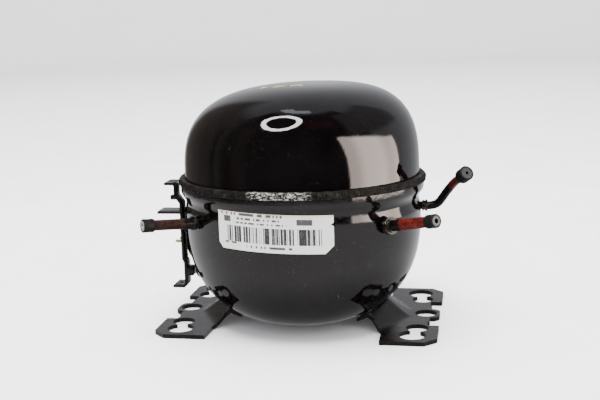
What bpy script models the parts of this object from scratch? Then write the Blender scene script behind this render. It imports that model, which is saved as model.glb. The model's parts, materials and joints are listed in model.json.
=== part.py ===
"""A hermetic reciprocating compressor, modelled piece by piece.

The welded steel housing carries two sheet-metal feet, three capped connector tubes, a hermetic
terminal and its bracket. Inside it a motor and a single-cylinder pump hang together on four springs.
Metres, +Z up, floor at z = 0, terminal side at -X, label side at -Y.
"""

import math

import bmesh
import bpy
from mathutils import Matrix, Vector

# ---------------------------------------------------------------- driving dimensions
ORIGIN_X = 0.009  # the foot pattern's centre is this far behind the middle of the overall length
GAP = 0.0003  # between pieces that touch
RUN = 0.00008  # radial running clearance of the shaft and the piston

# housing
SHELL_HALF_LENGTH = 0.0855  # outside of the upper shell's skirt
SHELL_HALF_WIDTH = 0.0795
SHELL_CENTRE_X = -0.0006
SHELL_LEFT = SHELL_CENTRE_X - SHELL_HALF_LENGTH
SHELL_RIGHT = SHELL_CENTRE_X + SHELL_HALF_LENGTH
SHELL_WALL = 0.0028
SEAM_Z = 0.1072  # top of the weld against the upper shell's wall
DOME_HEIGHT = 0.0661
DOME_CROWN_X = 0.0126
DOME_POWERS = (3.1, 2.9, 3.4)  # roundness of the right, left and front/back shoulders
SKIRT_Z = 0.0990  # lower edge of the upper shell, inside the rim
RIM_TOP_Z = 0.1045
RIM_STEP_Z = 0.0982
NECK_Z = 0.0910
NECK_INSET = 0.0007  # neck's offset inside the upper shell's outline
BULGE_Z = 0.0820
BULGE_OUTSET = 0.0009
BOWL_BOTTOM_Z = 0.0030
BOWL_CROWN_X = 0.0045
BOWL_POWERS = (2.65, 2.72, 3.6)
BEAD_OUTSET = 0.0048  # weld bead beyond the upper shell's outline
BEAD_LOW_Z = 0.1022
BEAD_EDGE = 0.0008  # bevel of the bead's lower edge
BEAD_ROUND = 0.0012  # rounding of its upper edge, out and down
BEAD_FLAT = 0.0020  # width of its upper face
HOLE_REACH = 0.0120  # how far a hole's cutter runs to each side of a wall
RING_POINTS = 40
DOME_SHARES = (0.18, 0.33, 0.46, 0.58, 0.69, 0.79, 0.88, 0.95)  # the dome's rings, of a quarter turn

# feet: hole patterns 165.1 x 101.6 (19 mm holes) and 170 x 70 (16 mm holes)
FOOT_PLATE = 0.0030
FOOT_OUT_X = 0.0998
FOOT_IN_X = 0.0610
FOOT_HALF_Y = 0.0655
FOOT_SADDLE_X = 0.0420
FOOT_SADDLE_HALF_Y = 0.0440
FOOT_CREASE_X = 0.0790
FOOT_CREASE_HALF_Y = 0.0080
FOOT_SLOPE = 0.85
FOOT_BEND = 0.0040  # how softly the plate turns up at its creases
FOOT_CELLS = (9, 6)  # grid of the bent area, along X and along Y
TAB_INNER_Y = 0.0285
NOTCH_X = 0.0915
NOTCH_STEP = 0.0012
MID_TAB_HALF_Y = 0.0106
MID_TAB_SHORT = 0.0005  # the middle tab ends this far inside the corner tabs
MID_TAB_CORNER = 0.0060
TAB_CHAMFER = 0.0085
SADDLE_FLARE = (0.0080, 0.0090, 0.0120)  # inset along X, first and last inset along Y, of the inner end
HOLE_DEPTH = (-0.0100, 0.0300)  # start and length of the cutters for the feet's holes
LARGE_HOLE_X = 0.08255
LARGE_HOLE_Y = 0.0508
LARGE_HOLE_R = 0.0095
SMALL_HOLE_X = 0.0850
SMALL_HOLE_Y = 0.0350
SMALL_HOLE_R = 0.0080
MID_HOLE_X = 0.0892
MID_HOLE_R = 0.0080

# connector tubes
TUBE_R = 0.00365
TUBE_WALL = 0.00055
DISCHARGE_R = 0.0030
SUCTION_PLACE = (math.radians(220.49), 0.0802)  # turn round the bowl, and height
SUCTION_ANGLES = (math.radians(221.0), math.radians(4.9))
SUCTION_LENGTH = 0.0380
PROCESS_PLACE = (math.radians(-39.56), 0.0791)
PROCESS_ANGLES = (math.radians(-42.0), math.radians(13.0))
PROCESS_LENGTH = 0.0455
DISCHARGE_ROUTE = (
    (SHELL_RIGHT - 0.0059, 0.0060, 0.0826),
    (SHELL_RIGHT + 0.0011, 0.0062, 0.0826),
    (SHELL_RIGHT + 0.0086, 0.0063, 0.0827),
    (SHELL_RIGHT + 0.0136, 0.0055, 0.0852),
    (SHELL_RIGHT + 0.0190, 0.0012, 0.0932),
    (SHELL_RIGHT + 0.0247, -0.0083, 0.1016),
    (SHELL_RIGHT + 0.0287, -0.0152, 0.1059),
    (SHELL_RIGHT + 0.0328, -0.0220, 0.1101),
)
TUBE_INSIDE = 0.0060  # how far the straight tubes reach in through the wall
COLLAR_R = 0.0061
COLLAR_LENGTH = 0.0046
DISCHARGE_COLLAR_R = 0.0043
CAP_R = 0.0048
CAP_LENGTH = 0.0080
CAP_GRIP = 0.0055  # length of tube inside the cap
CAP_BORE_R = 0.0012
CAP_ROUND = 0.0006
CAP_LIP = 0.0004
CAP_PLUG_Z = 0.0004  # inner end of the plug, from the cap's open end
DISCHARGE_CAP_R = 0.0053
SUCTION_COLLAR_R = 0.0049
COLLAR_STEP = 0.0010
COLLAR_GROOVE = 0.0009
COLLAR_EDGE = 0.0002
SHORT_COLLARS = (0.7, 0.8)  # suction and discharge collars, of the full collar's length

# terminal and bracket
TERMINAL_Z = 0.0590
TERMINAL_CUP_R = 0.0156
TERMINAL_CUP_X = SHELL_LEFT + 0.0041  # inner face of the cup
TERMINAL_CUP_THICKNESS = 0.0026
PIN_R = 0.00115
PIN_CIRCLE_R = 0.0058
PIN_OUT_X = SHELL_LEFT - 0.0115
PIN_IN_X = SHELL_LEFT + 0.0141
PIN_BEVEL = 0.0003
PIN_ANGLES = (("common", 90), ("start", 210), ("run", 330))
CUP_RIM = (0.0030, 0.0022, 0.0012)  # inner and outer inset of the cup's rim, and its height
CONNECTOR_Y = (-0.0095, 0.0095)
CONNECTOR_Z = (0.0505, 0.0700)
CONNECTOR_REACH = 0.0030  # past the pins' inner ends
CONNECTOR_BEVEL = 0.0010
BRACKET_SHEET = 0.0018
BRACKET_Y = (-0.0220, -0.0120)
BRACKET_TAB_BACK_Y = -0.0060
BRACKET_PATH = (
    (SHELL_LEFT - 0.0129, 0.1025),
    (SHELL_LEFT - 0.0064, 0.1025),
    (SHELL_LEFT - 0.0050, 0.1010),
    (SHELL_LEFT - 0.0050, 0.0935),
    (SHELL_LEFT - 0.0012, 0.0885),
    (SHELL_LEFT - 0.0012, 0.0460),
    (SHELL_LEFT + 0.0001, 0.0440),
    (SHELL_LEFT + 0.0001, 0.0275),
    (SHELL_LEFT - 0.0014, 0.0255),
    (SHELL_LEFT - 0.0099, 0.0255),
)
BRACKET_SHELF = (SHELL_LEFT - 0.0192, 0.0812)
BRACKET_LUG_Z = 0.0370
BRACKET_LUG_HALF = 0.0030
BRACKET_HOOK_Z = (0.0910, 0.0942)
BRACKET_HOOK = (0.0035, 0.0040)  # how far it stands out, and its width
BRACKET_TAB_OVERLAP = 0.0005
TOP_TAB_HOLE_R = 0.0022
BASE_TAB_HOLE_R = 0.0016

# label
LABEL_X = (-0.0457, 0.0333)
LABEL_Z = (0.0665, 0.0925)
LABEL_SHEET = 0.0003
LABEL_CELLS = (14, 6)

# motor
STATOR_HALF = 0.0500
STATOR_CHAMFER = 0.0140
STATOR_Z = (0.0400, 0.0760)
STATOR_BORE_R = 0.0284
STATOR_SLOTS = 24
SLOT_OUTER_R = 0.0420
SLOT_WIDTH = 0.0036
WINDING_R = (0.0310, 0.0430)
WINDING_HEIGHT = 0.0145
WINDING_ROUND = 0.0030
BOLT_PITCH = 0.0370  # stator bolts and springs, from the shaft along X and along Y
BOLT_R = 0.0029
BOLT_HOLE_R = 0.0033
BOLT_HEAD_R = 0.0056
BOLT_END_DEPTH = 0.0020  # below the block plate's upper face
ROTOR_AIR_GAP = 0.0005
ROTOR_RING_R = (0.0180, 0.0265)
ROTOR_RING_HEIGHT = 0.0040

# suspension
SPRING_R = 0.0060
SPRING_WIRE_R = 0.0009
SPRING_TURNS = 4
SPRING_LOW_Z = 0.0192
SPRING_TOP_Z = 0.0347
SEAT_R = 0.0069
PEG_R = 0.0040
PEG_HEIGHT = 0.0045
PEG_BEVEL = 0.0005
SEAT_THICKNESS = 0.0014
SEAT_REACH = 0.0040  # where the stud's foot meets the bowl, out from the stud's axis
SPRING_POINTS = 8  # to a turn

# pump
SHAFT_R = 0.0080
SHAFT_LOW_Z = 0.0340
THROW = 0.00725
CRANK_PIN_R = 0.0050
CRANK_PIN_TOP_Z = 0.1310
WEB_HEIGHT = 0.0077
WEB_R = 0.0135
WEIGHT_R = 0.0240
WEIGHT_ARC = (20, 160)  # degrees
WEIGHT_NECK = (0.0130, 0.0020)  # half width and place of its inner end
WEIGHT_INSET = 0.0002
JOIN = 0.0020  # how deep a joined piece runs into its neighbour
PICKUP_R = (0.0030, 0.0060)
PICKUP_TIP_R = (0.0018, 0.0034)
PICKUP_NECK = 0.0080
PICKUP_LOW_Z = 0.0120
PLATE_Z = (0.0950, 0.1030)
PLATE_HALF = 0.0430
PLATE_CORNER = 0.0060
HUB_R = 0.0140
HUB_LOW_Z = 0.0830
LEG_R = 0.0062
BOLT_BORE_COVER = 0.0015  # metal left over each blind bolt bore
CYLINDER_Z = 0.1240
BORE_R = 0.0115
BARREL_X = (0.0280, 0.0564)
BARREL_HALF = 0.0200
ROD_LENGTH = 0.0400
ROD_EYE_R = (0.0064, 0.0095)
ROD_SMALL_EYE_R = 0.0062
ROD_HALF_HEIGHT = 0.0043
ROD_BEAM_HALF = 0.0034
ROD_BEAM_INSET = 0.0010
CRANK_SWING = math.radians(45.0)  # the crank's modelled swing to each side of mid-stroke
PISTON_LENGTH = 0.0220
PISTON_CROWN = 0.0090  # from the wrist pin to the crown
PISTON_CAVITY_R = 0.0083
PISTON_TOP = 0.0026  # crown's thickness
WRIST_PIN_R = 0.0040
WRIST_PIN_HALF = 0.0100
GASKET_THICKNESS = 0.0009
VALVE_PLATE_THICKNESS = 0.0030
HEAD_THICKNESS = 0.0098
HEAD_BOLT_PITCH = 0.0150
HEAD_BOLT_R = 0.0025
HEAD_BOLT_HEAD = (0.0042, 0.0028)  # radius and height
HEAD_BOLT_GRIP = 0.0090  # length of bolt in the block
HEAD_BOLT_BORE_END = 0.0015  # room past the bolt's end
GASKET_CLEAR = 0.0006
CHAMBER_Y = (0.0010, 0.0105)
CHAMBER_INSET = (0.0095, 0.0070)  # from the head's lower and upper edge
CHAMBER_COVER = 0.0030
INLET = (0.0045, 0.0060, 0.0020)  # from the head's face and the cylinder's axis
INLET_R = 0.0022
REED_SHEET = 0.0004
REED_WIDTH = 0.0062
REED_LENGTH = 0.0155
REED_ROOT = 0.0085  # the reeds' clamped end, below the bore's axis
PORT_OFFSET = 0.0046
PORT_RISE = 0.0035
SUCTION_PORT_R = 0.0024
DISCHARGE_PORT_R = 0.0018

# mufflers and flexible lines
MUFFLER_BOX = ((0.0200, 0.0225, 0.1040), (0.0540, 0.0460, 0.1420))
MUFFLER_BEVEL = 0.0040
MUFFLER_NECK_X = 0.0500
MUFFLER_NECK_REACH = 0.0085  # past the head's face
MUFFLER_NECK_Y = 0.0290
MUFFLER_NECK_Z = (-0.0020, 0.0060)  # from the cylinder's axis
CAN_PLACE = (-0.0290, -0.0300)
CAN_R = (0.0100, 0.0140, 0.0130)  # shoulder, wall and foot of the discharge muffler
CAN_Z = (0.0280, 0.0270, 0.0230, 0.0015)  # crown, shoulder, wall's top and foot, over the plate
LOOP_R = 0.0019
LEAD_R = 0.0020
LOOP_ROUTE = (
    (-0.0290, -0.0300, 0.1316),
    (-0.0310, -0.0320, 0.1370),
    (-0.0400, -0.0420, 0.1370),
    (-0.0480, -0.0500, 0.1270),
    (-0.0480, -0.0520, 0.1060),
    (-0.0300, -0.0620, 0.0920),
    (0.0050, -0.0670, 0.0880),
    (0.0420, -0.0580, 0.0860),
    (0.0680, -0.0330, 0.0840),
    (SHELL_RIGHT - 0.0094, -0.0080, 0.0828),
    (SHELL_RIGHT - 0.0087, 0.0020, 0.0826),
    (SHELL_RIGHT - 0.0063, 0.0060, 0.0826),
)
LEAD_ROUTE = (
    (SHELL_LEFT + 0.0175, 0.0000, 0.0590),
    (SHELL_LEFT + 0.0221, 0.0000, 0.0610),
    (SHELL_LEFT + 0.0271, 0.0000, 0.0700),
    (SHELL_LEFT + 0.0311, 0.0000, 0.0800),
    (-0.0490, 0.0000, 0.0840),
    (-0.0434, 0.0000, 0.0840),
)

# ---------------------------------------------------------------- scene and helpers
for old in list(bpy.data.objects):
    bpy.data.objects.remove(old)

parts = bpy.data.collections.new("hermetic_compressor")
cutters = bpy.data.collections.new("cutters")
guides = bpy.data.collections.new("axes")
for collection in (parts, cutters, guides):
    bpy.context.scene.collection.children.link(collection)


def material(name, colour, roughness, metallic):
    made = bpy.data.materials.new(name)
    made.use_nodes = True
    shader = made.node_tree.nodes["Principled BSDF"]
    shader.inputs["Base Color"].default_value = (*colour, 1.0)
    shader.inputs["Roughness"].default_value = roughness
    shader.inputs["Metallic"].default_value = metallic
    return made


PAINT = material("black_gloss_paint", (0.012, 0.012, 0.014), 0.12, 0.0)
FOOT_PAINT = material("black_satin_paint", (0.030, 0.030, 0.032), 0.35, 0.2)
WELD = material("weld_bead", (0.10, 0.095, 0.085), 0.6, 0.7)
COPPER = material("copper", (0.55, 0.16, 0.08), 0.35, 1.0)
RUBBER = material("rubber", (0.03, 0.03, 0.03), 0.8, 0.0)
BRASS = material("brass", (0.60, 0.45, 0.20), 0.35, 1.0)
STEEL = material("steel", (0.45, 0.45, 0.46), 0.35, 1.0)
IRON = material("cast_iron", (0.18, 0.18, 0.19), 0.6, 0.8)
LAMINATION = material("lamination", (0.30, 0.30, 0.32), 0.5, 0.9)
WIRE = material("enamelled_wire", (0.50, 0.22, 0.08), 0.4, 0.6)
ALUMINIUM = material("aluminium", (0.70, 0.71, 0.72), 0.4, 1.0)
PLASTIC = material("plastic", (0.75, 0.72, 0.62), 0.5, 0.0)
PAPER = material("label_paper", (0.85, 0.84, 0.80), 0.5, 0.0)
GASKET = material("gasket", (0.20, 0.28, 0.22), 0.8, 0.0)


def place(name, mesh, finish, location=(0, 0, 0), rotation=(0, 0, 0)):
    made = bpy.data.objects.new(name, mesh)
    made.location = location
    made.rotation_euler = rotation
    parts.objects.link(made)
    mesh.materials.append(finish)
    mesh.shade_smooth()
    mesh.set_sharp_from_angle(angle=math.radians(32))
    return made


def axis_empty(name, location):
    made = bpy.data.objects.new(name, None)
    made.location = location
    made.empty_display_size = 0.02
    guides.objects.link(made)
    return made


def ride(child, parent):
    """Parents child to an empty and keeps the child where it is."""
    offset = Vector((0, 0, 0))
    holder = parent
    while holder is not None:
        offset += holder.location
        holder = holder.parent
    child.location = Vector(child.location) - offset
    child.parent = parent
    return child


def mesh_from(build):
    bm = bmesh.new()
    build(bm)
    made = bpy.data.meshes.new("shape")
    bm.to_mesh(made)
    bm.free()
    return made


def cylinder_mesh(radius, length, segments=24, top_radius=None):
    """A cylinder along Z with its foot at z = 0."""
    top = radius if top_radius is None else top_radius
    return mesh_from(
        lambda bm: bmesh.ops.create_cone(
            bm,
            cap_ends=True,
            segments=segments,
            radius1=radius,
            radius2=top,
            depth=length,
            matrix=Matrix.Translation((0, 0, length / 2)),
        )
    )


def box_mesh(low, high):
    size = [b - a for a, b in zip(low, high)]
    middle = [(a + b) / 2 for a, b in zip(low, high)]
    shift = Matrix.Translation(middle) @ Matrix.Diagonal((*size, 1.0))
    return mesh_from(lambda bm: bmesh.ops.create_cube(bm, size=1.0, matrix=shift))


def loft_mesh(rings, closed=False, cap=False):
    """Joins rings of points, each closed on itself, into a surface. Rings run along the surface."""

    def build(bm):
        rows = [[bm.verts.new(point) for point in ring] for ring in rings]
        pairs = list(zip(rows, rows[1:]))
        if closed:
            pairs.append((rows[-1], rows[0]))
        for low, high in pairs:
            count = len(low)
            for i in range(count):
                j = (i + 1) % count
                bm.faces.new((low[i], low[j], high[j], high[i]))
        if cap:
            bm.faces.new(rows[-1])
        bmesh.ops.recalc_face_normals(bm, faces=bm.faces)

    return mesh_from(build)


def sheet_mesh(rows):
    """An open sheet through a grid of points."""

    def build(bm):
        grid = [[bm.verts.new(point) for point in row] for row in rows]
        for low, high in zip(grid, grid[1:]):
            for i in range(len(low) - 1):
                bm.faces.new((low[i], low[i + 1], high[i + 1], high[i]))

    return mesh_from(build)


def outline_mesh(loops, low_z, height):
    """A flat outline with holes, made thick: a filled 2D curve turned into a mesh."""
    curve = bpy.data.curves.new("outline", "CURVE")
    curve.dimensions = "2D"
    curve.fill_mode = "BOTH"
    curve.extrude = height / 2
    for loop in loops:
        spline = curve.splines.new("POLY")
        spline.points.add(len(loop) - 1)
        for point, (x, y) in zip(spline.points, loop):
            point.co = (x, y, 0, 1)
        spline.use_cyclic_u = True
    return curve_to_mesh(curve, low_z + height / 2)


def curve_to_mesh(curve, lift=0.0):
    holder = bpy.data.objects.new("curve_holder", curve)
    bpy.context.scene.collection.objects.link(holder)
    bpy.context.view_layer.update()
    made = bpy.data.meshes.new_from_object(holder.evaluated_get(bpy.context.evaluated_depsgraph_get()))
    bpy.data.objects.remove(holder)
    bm = bmesh.new()
    bm.from_mesh(made)
    bmesh.ops.remove_doubles(bm, verts=bm.verts, dist=0.000005)
    bmesh.ops.translate(bm, verts=bm.verts, vec=(0, 0, lift))
    bmesh.ops.recalc_face_normals(bm, faces=bm.faces)
    bm.to_mesh(made)
    bm.free()
    return made


def wire_mesh(points, radius, resolution=2):
    """A round wire or tube along a list of points, with filled ends."""
    curve = bpy.data.curves.new("route", "CURVE")
    curve.dimensions = "3D"
    curve.bevel_depth = radius
    curve.bevel_resolution = resolution
    curve.use_fill_caps = True
    spline = curve.splines.new("POLY")
    spline.points.add(len(points) - 1)
    for node, point in zip(spline.points, points):
        node.co = (*point, 1)
    return curve_to_mesh(curve)


def turned(name, profile, finish, location=(0, 0, 0), rotation=(0, 0, 0), steps=24):
    """A turned piece: (radius, height) pairs from top to bottom along the outer side, about Z."""
    made = bpy.data.meshes.new(name)
    made.from_pydata([(r, 0, z) for r, z in profile], [(i, i + 1) for i in range(len(profile) - 1)], [])
    holder = place(name, made, finish, location, rotation)
    screw = holder.modifiers.new("turn", "SCREW")
    screw.steps = steps
    screw.render_steps = steps
    screw.use_merge_vertices = True
    screw.merge_threshold = 0.00001
    screw.use_smooth_shade = True
    return holder


def cut(target, name, mesh, location=(0, 0, 0), rotation=(0, 0, 0), operation="DIFFERENCE"):
    """Cuts target with a mesh, or joins or crosses them."""
    tool = bpy.data.objects.new(name, mesh)
    tool.location = location
    tool.rotation_euler = rotation
    tool.hide_render = True
    tool.display_type = "WIRE"
    cutters.objects.link(tool)
    step = target.modifiers.new(name, "BOOLEAN")
    step.operation = operation
    step.solver = "EXACT"
    step.object = tool
    return tool


def bevel(target, width, segments=1, angle=40.0):
    step = target.modifiers.new("rounded edges", "BEVEL")
    step.width = width
    step.segments = segments
    step.limit_method = "ANGLE"
    step.angle_limit = math.radians(angle)
    return step


def aim(azimuth, elevation):
    """The rotation that turns +Z to a direction."""
    flat = math.cos(elevation)
    direction = Vector((flat * math.cos(azimuth), flat * math.sin(azimuth), math.sin(elevation)))
    return direction, direction.to_track_quat("Z", "Y").to_euler()


ALONG_X = (0, math.radians(90), 0)


# ---------------------------------------------------------------- housing
def outline_point(angle, outset):
    x = SHELL_CENTRE_X + (SHELL_HALF_LENGTH + outset) * math.cos(angle)
    y = (SHELL_HALF_WIDTH + outset) * math.sin(angle)
    return x, y


def shoulder_power(angle, powers):
    right, left, side = powers
    along = math.cos(angle) ** 2
    return (right if math.cos(angle) > 0 else left) * along + side * (1 - along)


def plan_ring(z, outset):
    ring = []
    for i in range(RING_POINTS):
        x, y = outline_point(2 * math.pi * i / RING_POINTS, outset)
        ring.append((x, y, z))
    return ring


def dome_ring(share, outset, crown_x, base_z, height, powers):
    """One ring of a dome, share 0 at its base and 1 at its crown. A negative height hangs down."""
    turn = share * math.pi / 2
    ring = []
    for i in range(RING_POINTS):
        angle = 2 * math.pi * i / RING_POINTS
        x, y = outline_point(angle, outset)
        power = 2 / shoulder_power(angle, powers)
        reach = math.cos(turn) ** power
        ring.append((crown_x + (x - crown_x) * reach, y * reach, base_z + height * math.sin(turn) ** power))
    return ring


def upper_shell():
    rings = [plan_ring(SKIRT_Z, 0.0), plan_ring(SEAM_Z, 0.0)]
    for share in DOME_SHARES:
        rings.append(dome_ring(share, 0.0, DOME_CROWN_X, SEAM_Z, DOME_HEIGHT, DOME_POWERS))
    shell = place("upper_shell", loft_mesh(rings, cap=True), PAINT)
    thicken(shell)
    return shell


def thicken(shell):
    """Gives a shell its wall, on the inner side of its surface."""
    wall = shell.modifiers.new("wall", "SOLIDIFY")
    wall.thickness = SHELL_WALL
    wall.offset = -1.0
    wall.use_even_offset = True


def rim_outset():
    return GAP + SHELL_WALL


def bowl_height(x, y):
    """Height of the lower shell's outer surface under a point of the plan, or None outside it."""
    half_length = SHELL_HALF_LENGTH + BULGE_OUTSET
    half_width = SHELL_HALF_WIDTH + BULGE_OUTSET
    dx = x - BOWL_CROWN_X
    lean = BOWL_CROWN_X - SHELL_CENTRE_X
    a = (dx * half_width) ** 2 + (y * half_length) ** 2
    b = 2 * dx * lean * half_width**2
    c = (lean * half_width) ** 2 - (half_length * half_width) ** 2
    if a < 1e-18:
        return BOWL_BOTTOM_Z
    grow = (-b + math.sqrt(b * b - 4 * a * c)) / (2 * a)
    reach = 1 / grow
    if reach >= 1:
        return None
    angle = math.atan2(y * grow / half_width, (dx * grow + lean) / half_length)
    power = shoulder_power(angle, BOWL_POWERS)
    drop = (1 - reach**power) ** (1 / power)
    return BULGE_Z - (BULGE_Z - BOWL_BOTTOM_Z) * drop


def wall_profile():
    """Height and outset of the lower shell's wall, from its rim down past the neck to the bulge."""
    rim = rim_outset()
    return (
        (RIM_TOP_Z, rim),
        (RIM_STEP_Z, rim),
        ((RIM_STEP_Z + NECK_Z) / 2, (rim - NECK_INSET) / 2),
        (NECK_Z, -NECK_INSET),
        ((NECK_Z + BULGE_Z) / 2, BULGE_OUTSET * 0.6),
        (BULGE_Z, BULGE_OUTSET),
    )


def wall_outset(z):
    """The wall's outset at a height between the bulge and the rim."""
    profile = wall_profile()
    for (high, high_outset), (low, low_outset) in zip(profile, profile[1:]):
        if z >= low:
            return low_outset + (high_outset - low_outset) * (z - low) / (high - low)
    return profile[-1][1]


def lower_shell():
    rings = [plan_ring(z, outset) for z, outset in wall_profile()]
    depth = BOWL_BOTTOM_Z - BULGE_Z
    for share in DOME_SHARES:
        rings.append(dome_ring(share, BULGE_OUTSET, BOWL_CROWN_X, BULGE_Z, depth, BOWL_POWERS))
    shell = place("lower_shell", loft_mesh(rings, cap=True), PAINT)
    thicken(shell)
    for name, spot, angles, radius in (
        ("suction_hole", SUCTION_PLACE, SUCTION_ANGLES, TUBE_R),
        ("process_hole", PROCESS_PLACE, PROCESS_ANGLES, TUBE_R),
    ):
        direction, turn = aim(*angles)
        start = tube_root(spot) - direction * HOLE_REACH
        cut(shell, name, cylinder_mesh(radius + GAP, 2 * HOLE_REACH, 20), start, turn)
    x, y, z = DISCHARGE_ROUTE[0]
    start = (x - HOLE_REACH / 2, y, z)
    cut(shell, "discharge_hole", cylinder_mesh(DISCHARGE_R + GAP, 2 * HOLE_REACH, 20), start, ALONG_X)
    start = (TERMINAL_CUP_X - HOLE_REACH, 0, TERMINAL_Z)
    cut(shell, "terminal_hole", cylinder_mesh(TERMINAL_CUP_R + GAP, 2 * HOLE_REACH, 32), start, ALONG_X)
    return shell


def seam_weld():
    rim = rim_outset()
    section = (
        (GAP, RIM_TOP_Z + GAP),
        (rim + GAP, RIM_TOP_Z + GAP),
        (rim + GAP, BEAD_LOW_Z),
        (BEAD_OUTSET - BEAD_EDGE / 2, BEAD_LOW_Z + BEAD_EDGE),
        (BEAD_OUTSET, (BEAD_LOW_Z + SEAM_Z) / 2),
        (BEAD_OUTSET - BEAD_ROUND, SEAM_Z - BEAD_ROUND),
        (GAP + BEAD_FLAT, SEAM_Z),
        (GAP, SEAM_Z),
    )
    rings = [plan_ring(z, outset) for outset, z in section]
    return place("seam_weld", loft_mesh(rings, closed=True), WELD)


# ---------------------------------------------------------------- feet
def arc(centre, radius, start, end, count):
    x, y = centre
    points = []
    for i in range(count + 1):
        angle = math.radians(start + (end - start) * i / count)
        points.append((x + radius * math.cos(angle), y + radius * math.sin(angle)))
    return points


def foot_outline():
    """Outline of the right-hand foot, from the mid tab's tip round the back to the inner end."""
    corner = MID_TAB_CORNER
    tip = FOOT_OUT_X - MID_TAB_SHORT
    notch_middle = (MID_TAB_HALF_Y + TAB_INNER_Y) / 2
    flare_x, flare_y, flare_end = SADDLE_FLARE
    half = [(tip, 0.0)]
    half += arc((tip - corner, MID_TAB_HALF_Y - corner), corner, 0, 90, 4)
    half += [
        (NOTCH_X + NOTCH_STEP, MID_TAB_HALF_Y),
        (NOTCH_X + NOTCH_STEP, notch_middle),
        (NOTCH_X, notch_middle + NOTCH_STEP),
        (NOTCH_X, TAB_INNER_Y - NOTCH_STEP),
        (FOOT_OUT_X, TAB_INNER_Y),
        (FOOT_OUT_X, FOOT_HALF_Y - TAB_CHAMFER),
        (FOOT_OUT_X - TAB_CHAMFER, FOOT_HALF_Y),
        (FOOT_IN_X, FOOT_HALF_Y),
        (FOOT_IN_X - GAP, FOOT_SADDLE_HALF_Y),
        (FOOT_IN_X - flare_x, FOOT_SADDLE_HALF_Y - flare_y),
        (FOOT_SADDLE_X, FOOT_SADDLE_HALF_Y - flare_end),
    ]
    front = [(x, -y) for x, y in reversed(half[1:])]
    return half + front


def saddle_depth(x, y):
    """How far a point lies inside the two creases and the flat tabs, never below zero."""
    run_x = FOOT_CREASE_X - FOOT_IN_X
    run_y = FOOT_SADDLE_HALF_Y - FOOT_CREASE_HALF_Y
    along = math.hypot(run_x, run_y)
    side = (run_y * (FOOT_CREASE_X - x) - run_x * (abs(y) - FOOT_CREASE_HALF_Y)) / along
    return max(0.0, min(FOOT_CREASE_X - x, side))


def foot_height(x, y):
    """Height of the foot's lower face: flat at the tabs, rising to follow the bowl."""
    depth = saddle_depth(x, y)
    rise = FOOT_SLOPE * depth * depth / (depth + FOOT_BEND)
    under = bowl_height(x, y)
    if under is None:
        return rise
    room = under - FOOT_PLATE - 2 * GAP - clearance_for_slope(x, y)
    return max(0.0, min(rise, room))


def clearance_for_slope(x, y):
    """Extra drop that keeps the plate's upper face off the bowl where the bowl is steep."""
    step = 0.001
    here = bowl_height(x, y)
    out = bowl_height(x + step, y)
    side = bowl_height(x, abs(y) + step)
    if out is None or side is None:
        return FOOT_PLATE
    slope = math.hypot(out - here, side - here) / step
    return FOOT_PLATE * (math.sqrt(1 + slope * slope) - 1) + 1.5 * GAP * slope


def foot(name, side):
    columns, levels = FOOT_CELLS
    inner_x = FOOT_SADDLE_X - JOIN
    run_x = FOOT_CREASE_X - inner_x
    run_y = FOOT_SADDLE_HALF_Y - FOOT_CREASE_HALF_Y
    xs = [inner_x + run_x * i / columns for i in range(columns + 1)] + [FOOT_OUT_X + JOIN]
    half_ys = [0.0] + [FOOT_CREASE_HALF_Y + run_y * i / levels for i in range(levels + 1)]
    half_ys.append(FOOT_HALF_Y + JOIN)
    ys = [-y for y in reversed(half_ys[1:])] + half_ys
    rows = [[(side * x, y, foot_height(x, y)) for x in xs] for y in ys]
    plate = place(name, sheet_mesh(rows), FOOT_PAINT)
    wall = plate.modifiers.new("plate", "SOLIDIFY")
    wall.thickness = FOOT_PLATE
    wall.offset = side
    outline = [(side * x, y) for x, y in foot_outline()]
    low, depth = HOLE_DEPTH
    cut(plate, name + "_outline", outline_mesh([outline], low, 2 * depth), operation="INTERSECT")
    for mark in (-1, 1):
        large = (side * LARGE_HOLE_X, mark * LARGE_HOLE_Y, low)
        small = (side * SMALL_HOLE_X, mark * SMALL_HOLE_Y, low)
        cut(plate, name + "_large_hole", cylinder_mesh(LARGE_HOLE_R, depth, 24), large)
        cut(plate, name + "_small_hole", cylinder_mesh(SMALL_HOLE_R, depth, 20), small)
    cut(plate, name + "_mid_hole", cylinder_mesh(MID_HOLE_R, depth, 20), (side * MID_HOLE_X, 0, low))
    return plate


# ---------------------------------------------------------------- connector tubes and caps
def tube_root(spot):
    """Where a straight tube's axis meets the bowl, from its turn round the bowl and its height."""
    turn, z = spot
    x, y = outline_point(turn, BULGE_OUTSET)
    return Vector((x, y, z))


def straight_tube(name, root, angles, length):
    """A straight connector: an open-ended tube from inside the wall to its tip."""
    direction, turn = aim(*angles)
    start = Vector(root) - direction * TUBE_INSIDE
    whole = length + TUBE_INSIDE
    profile = (
        (TUBE_R - TUBE_WALL, whole),
        (TUBE_R, whole),
        (TUBE_R, 0.0),
        (TUBE_R - TUBE_WALL, 0.0),
        (TUBE_R - TUBE_WALL, whole),
    )
    return turned(name, profile, COPPER, start, turn, 20)


def collar(name, root, angles, radius, bore, length):
    """A stepped collar round a connector, against the wall."""
    direction, turn = aim(*angles)
    start = Vector(root) + direction * (2 * GAP + radius * math.sin(abs(angles[1])))
    hole = bore + GAP
    profile = (
        (hole, length),
        (hole + COLLAR_STEP, length),
        (hole + COLLAR_STEP, length * 0.8),
        (radius, length * 0.8),
        (radius, length * 0.55),
        (radius - COLLAR_GROOVE, length * 0.5),
        (radius - COLLAR_GROOVE, length * 0.36),
        (radius - COLLAR_EDGE, length * 0.3),
        (radius - COLLAR_EDGE, 0.0),
        (hole, 0.0),
        (hole, length),
    )
    return turned(name, profile, FOOT_PAINT, start, turn, 16)


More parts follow.
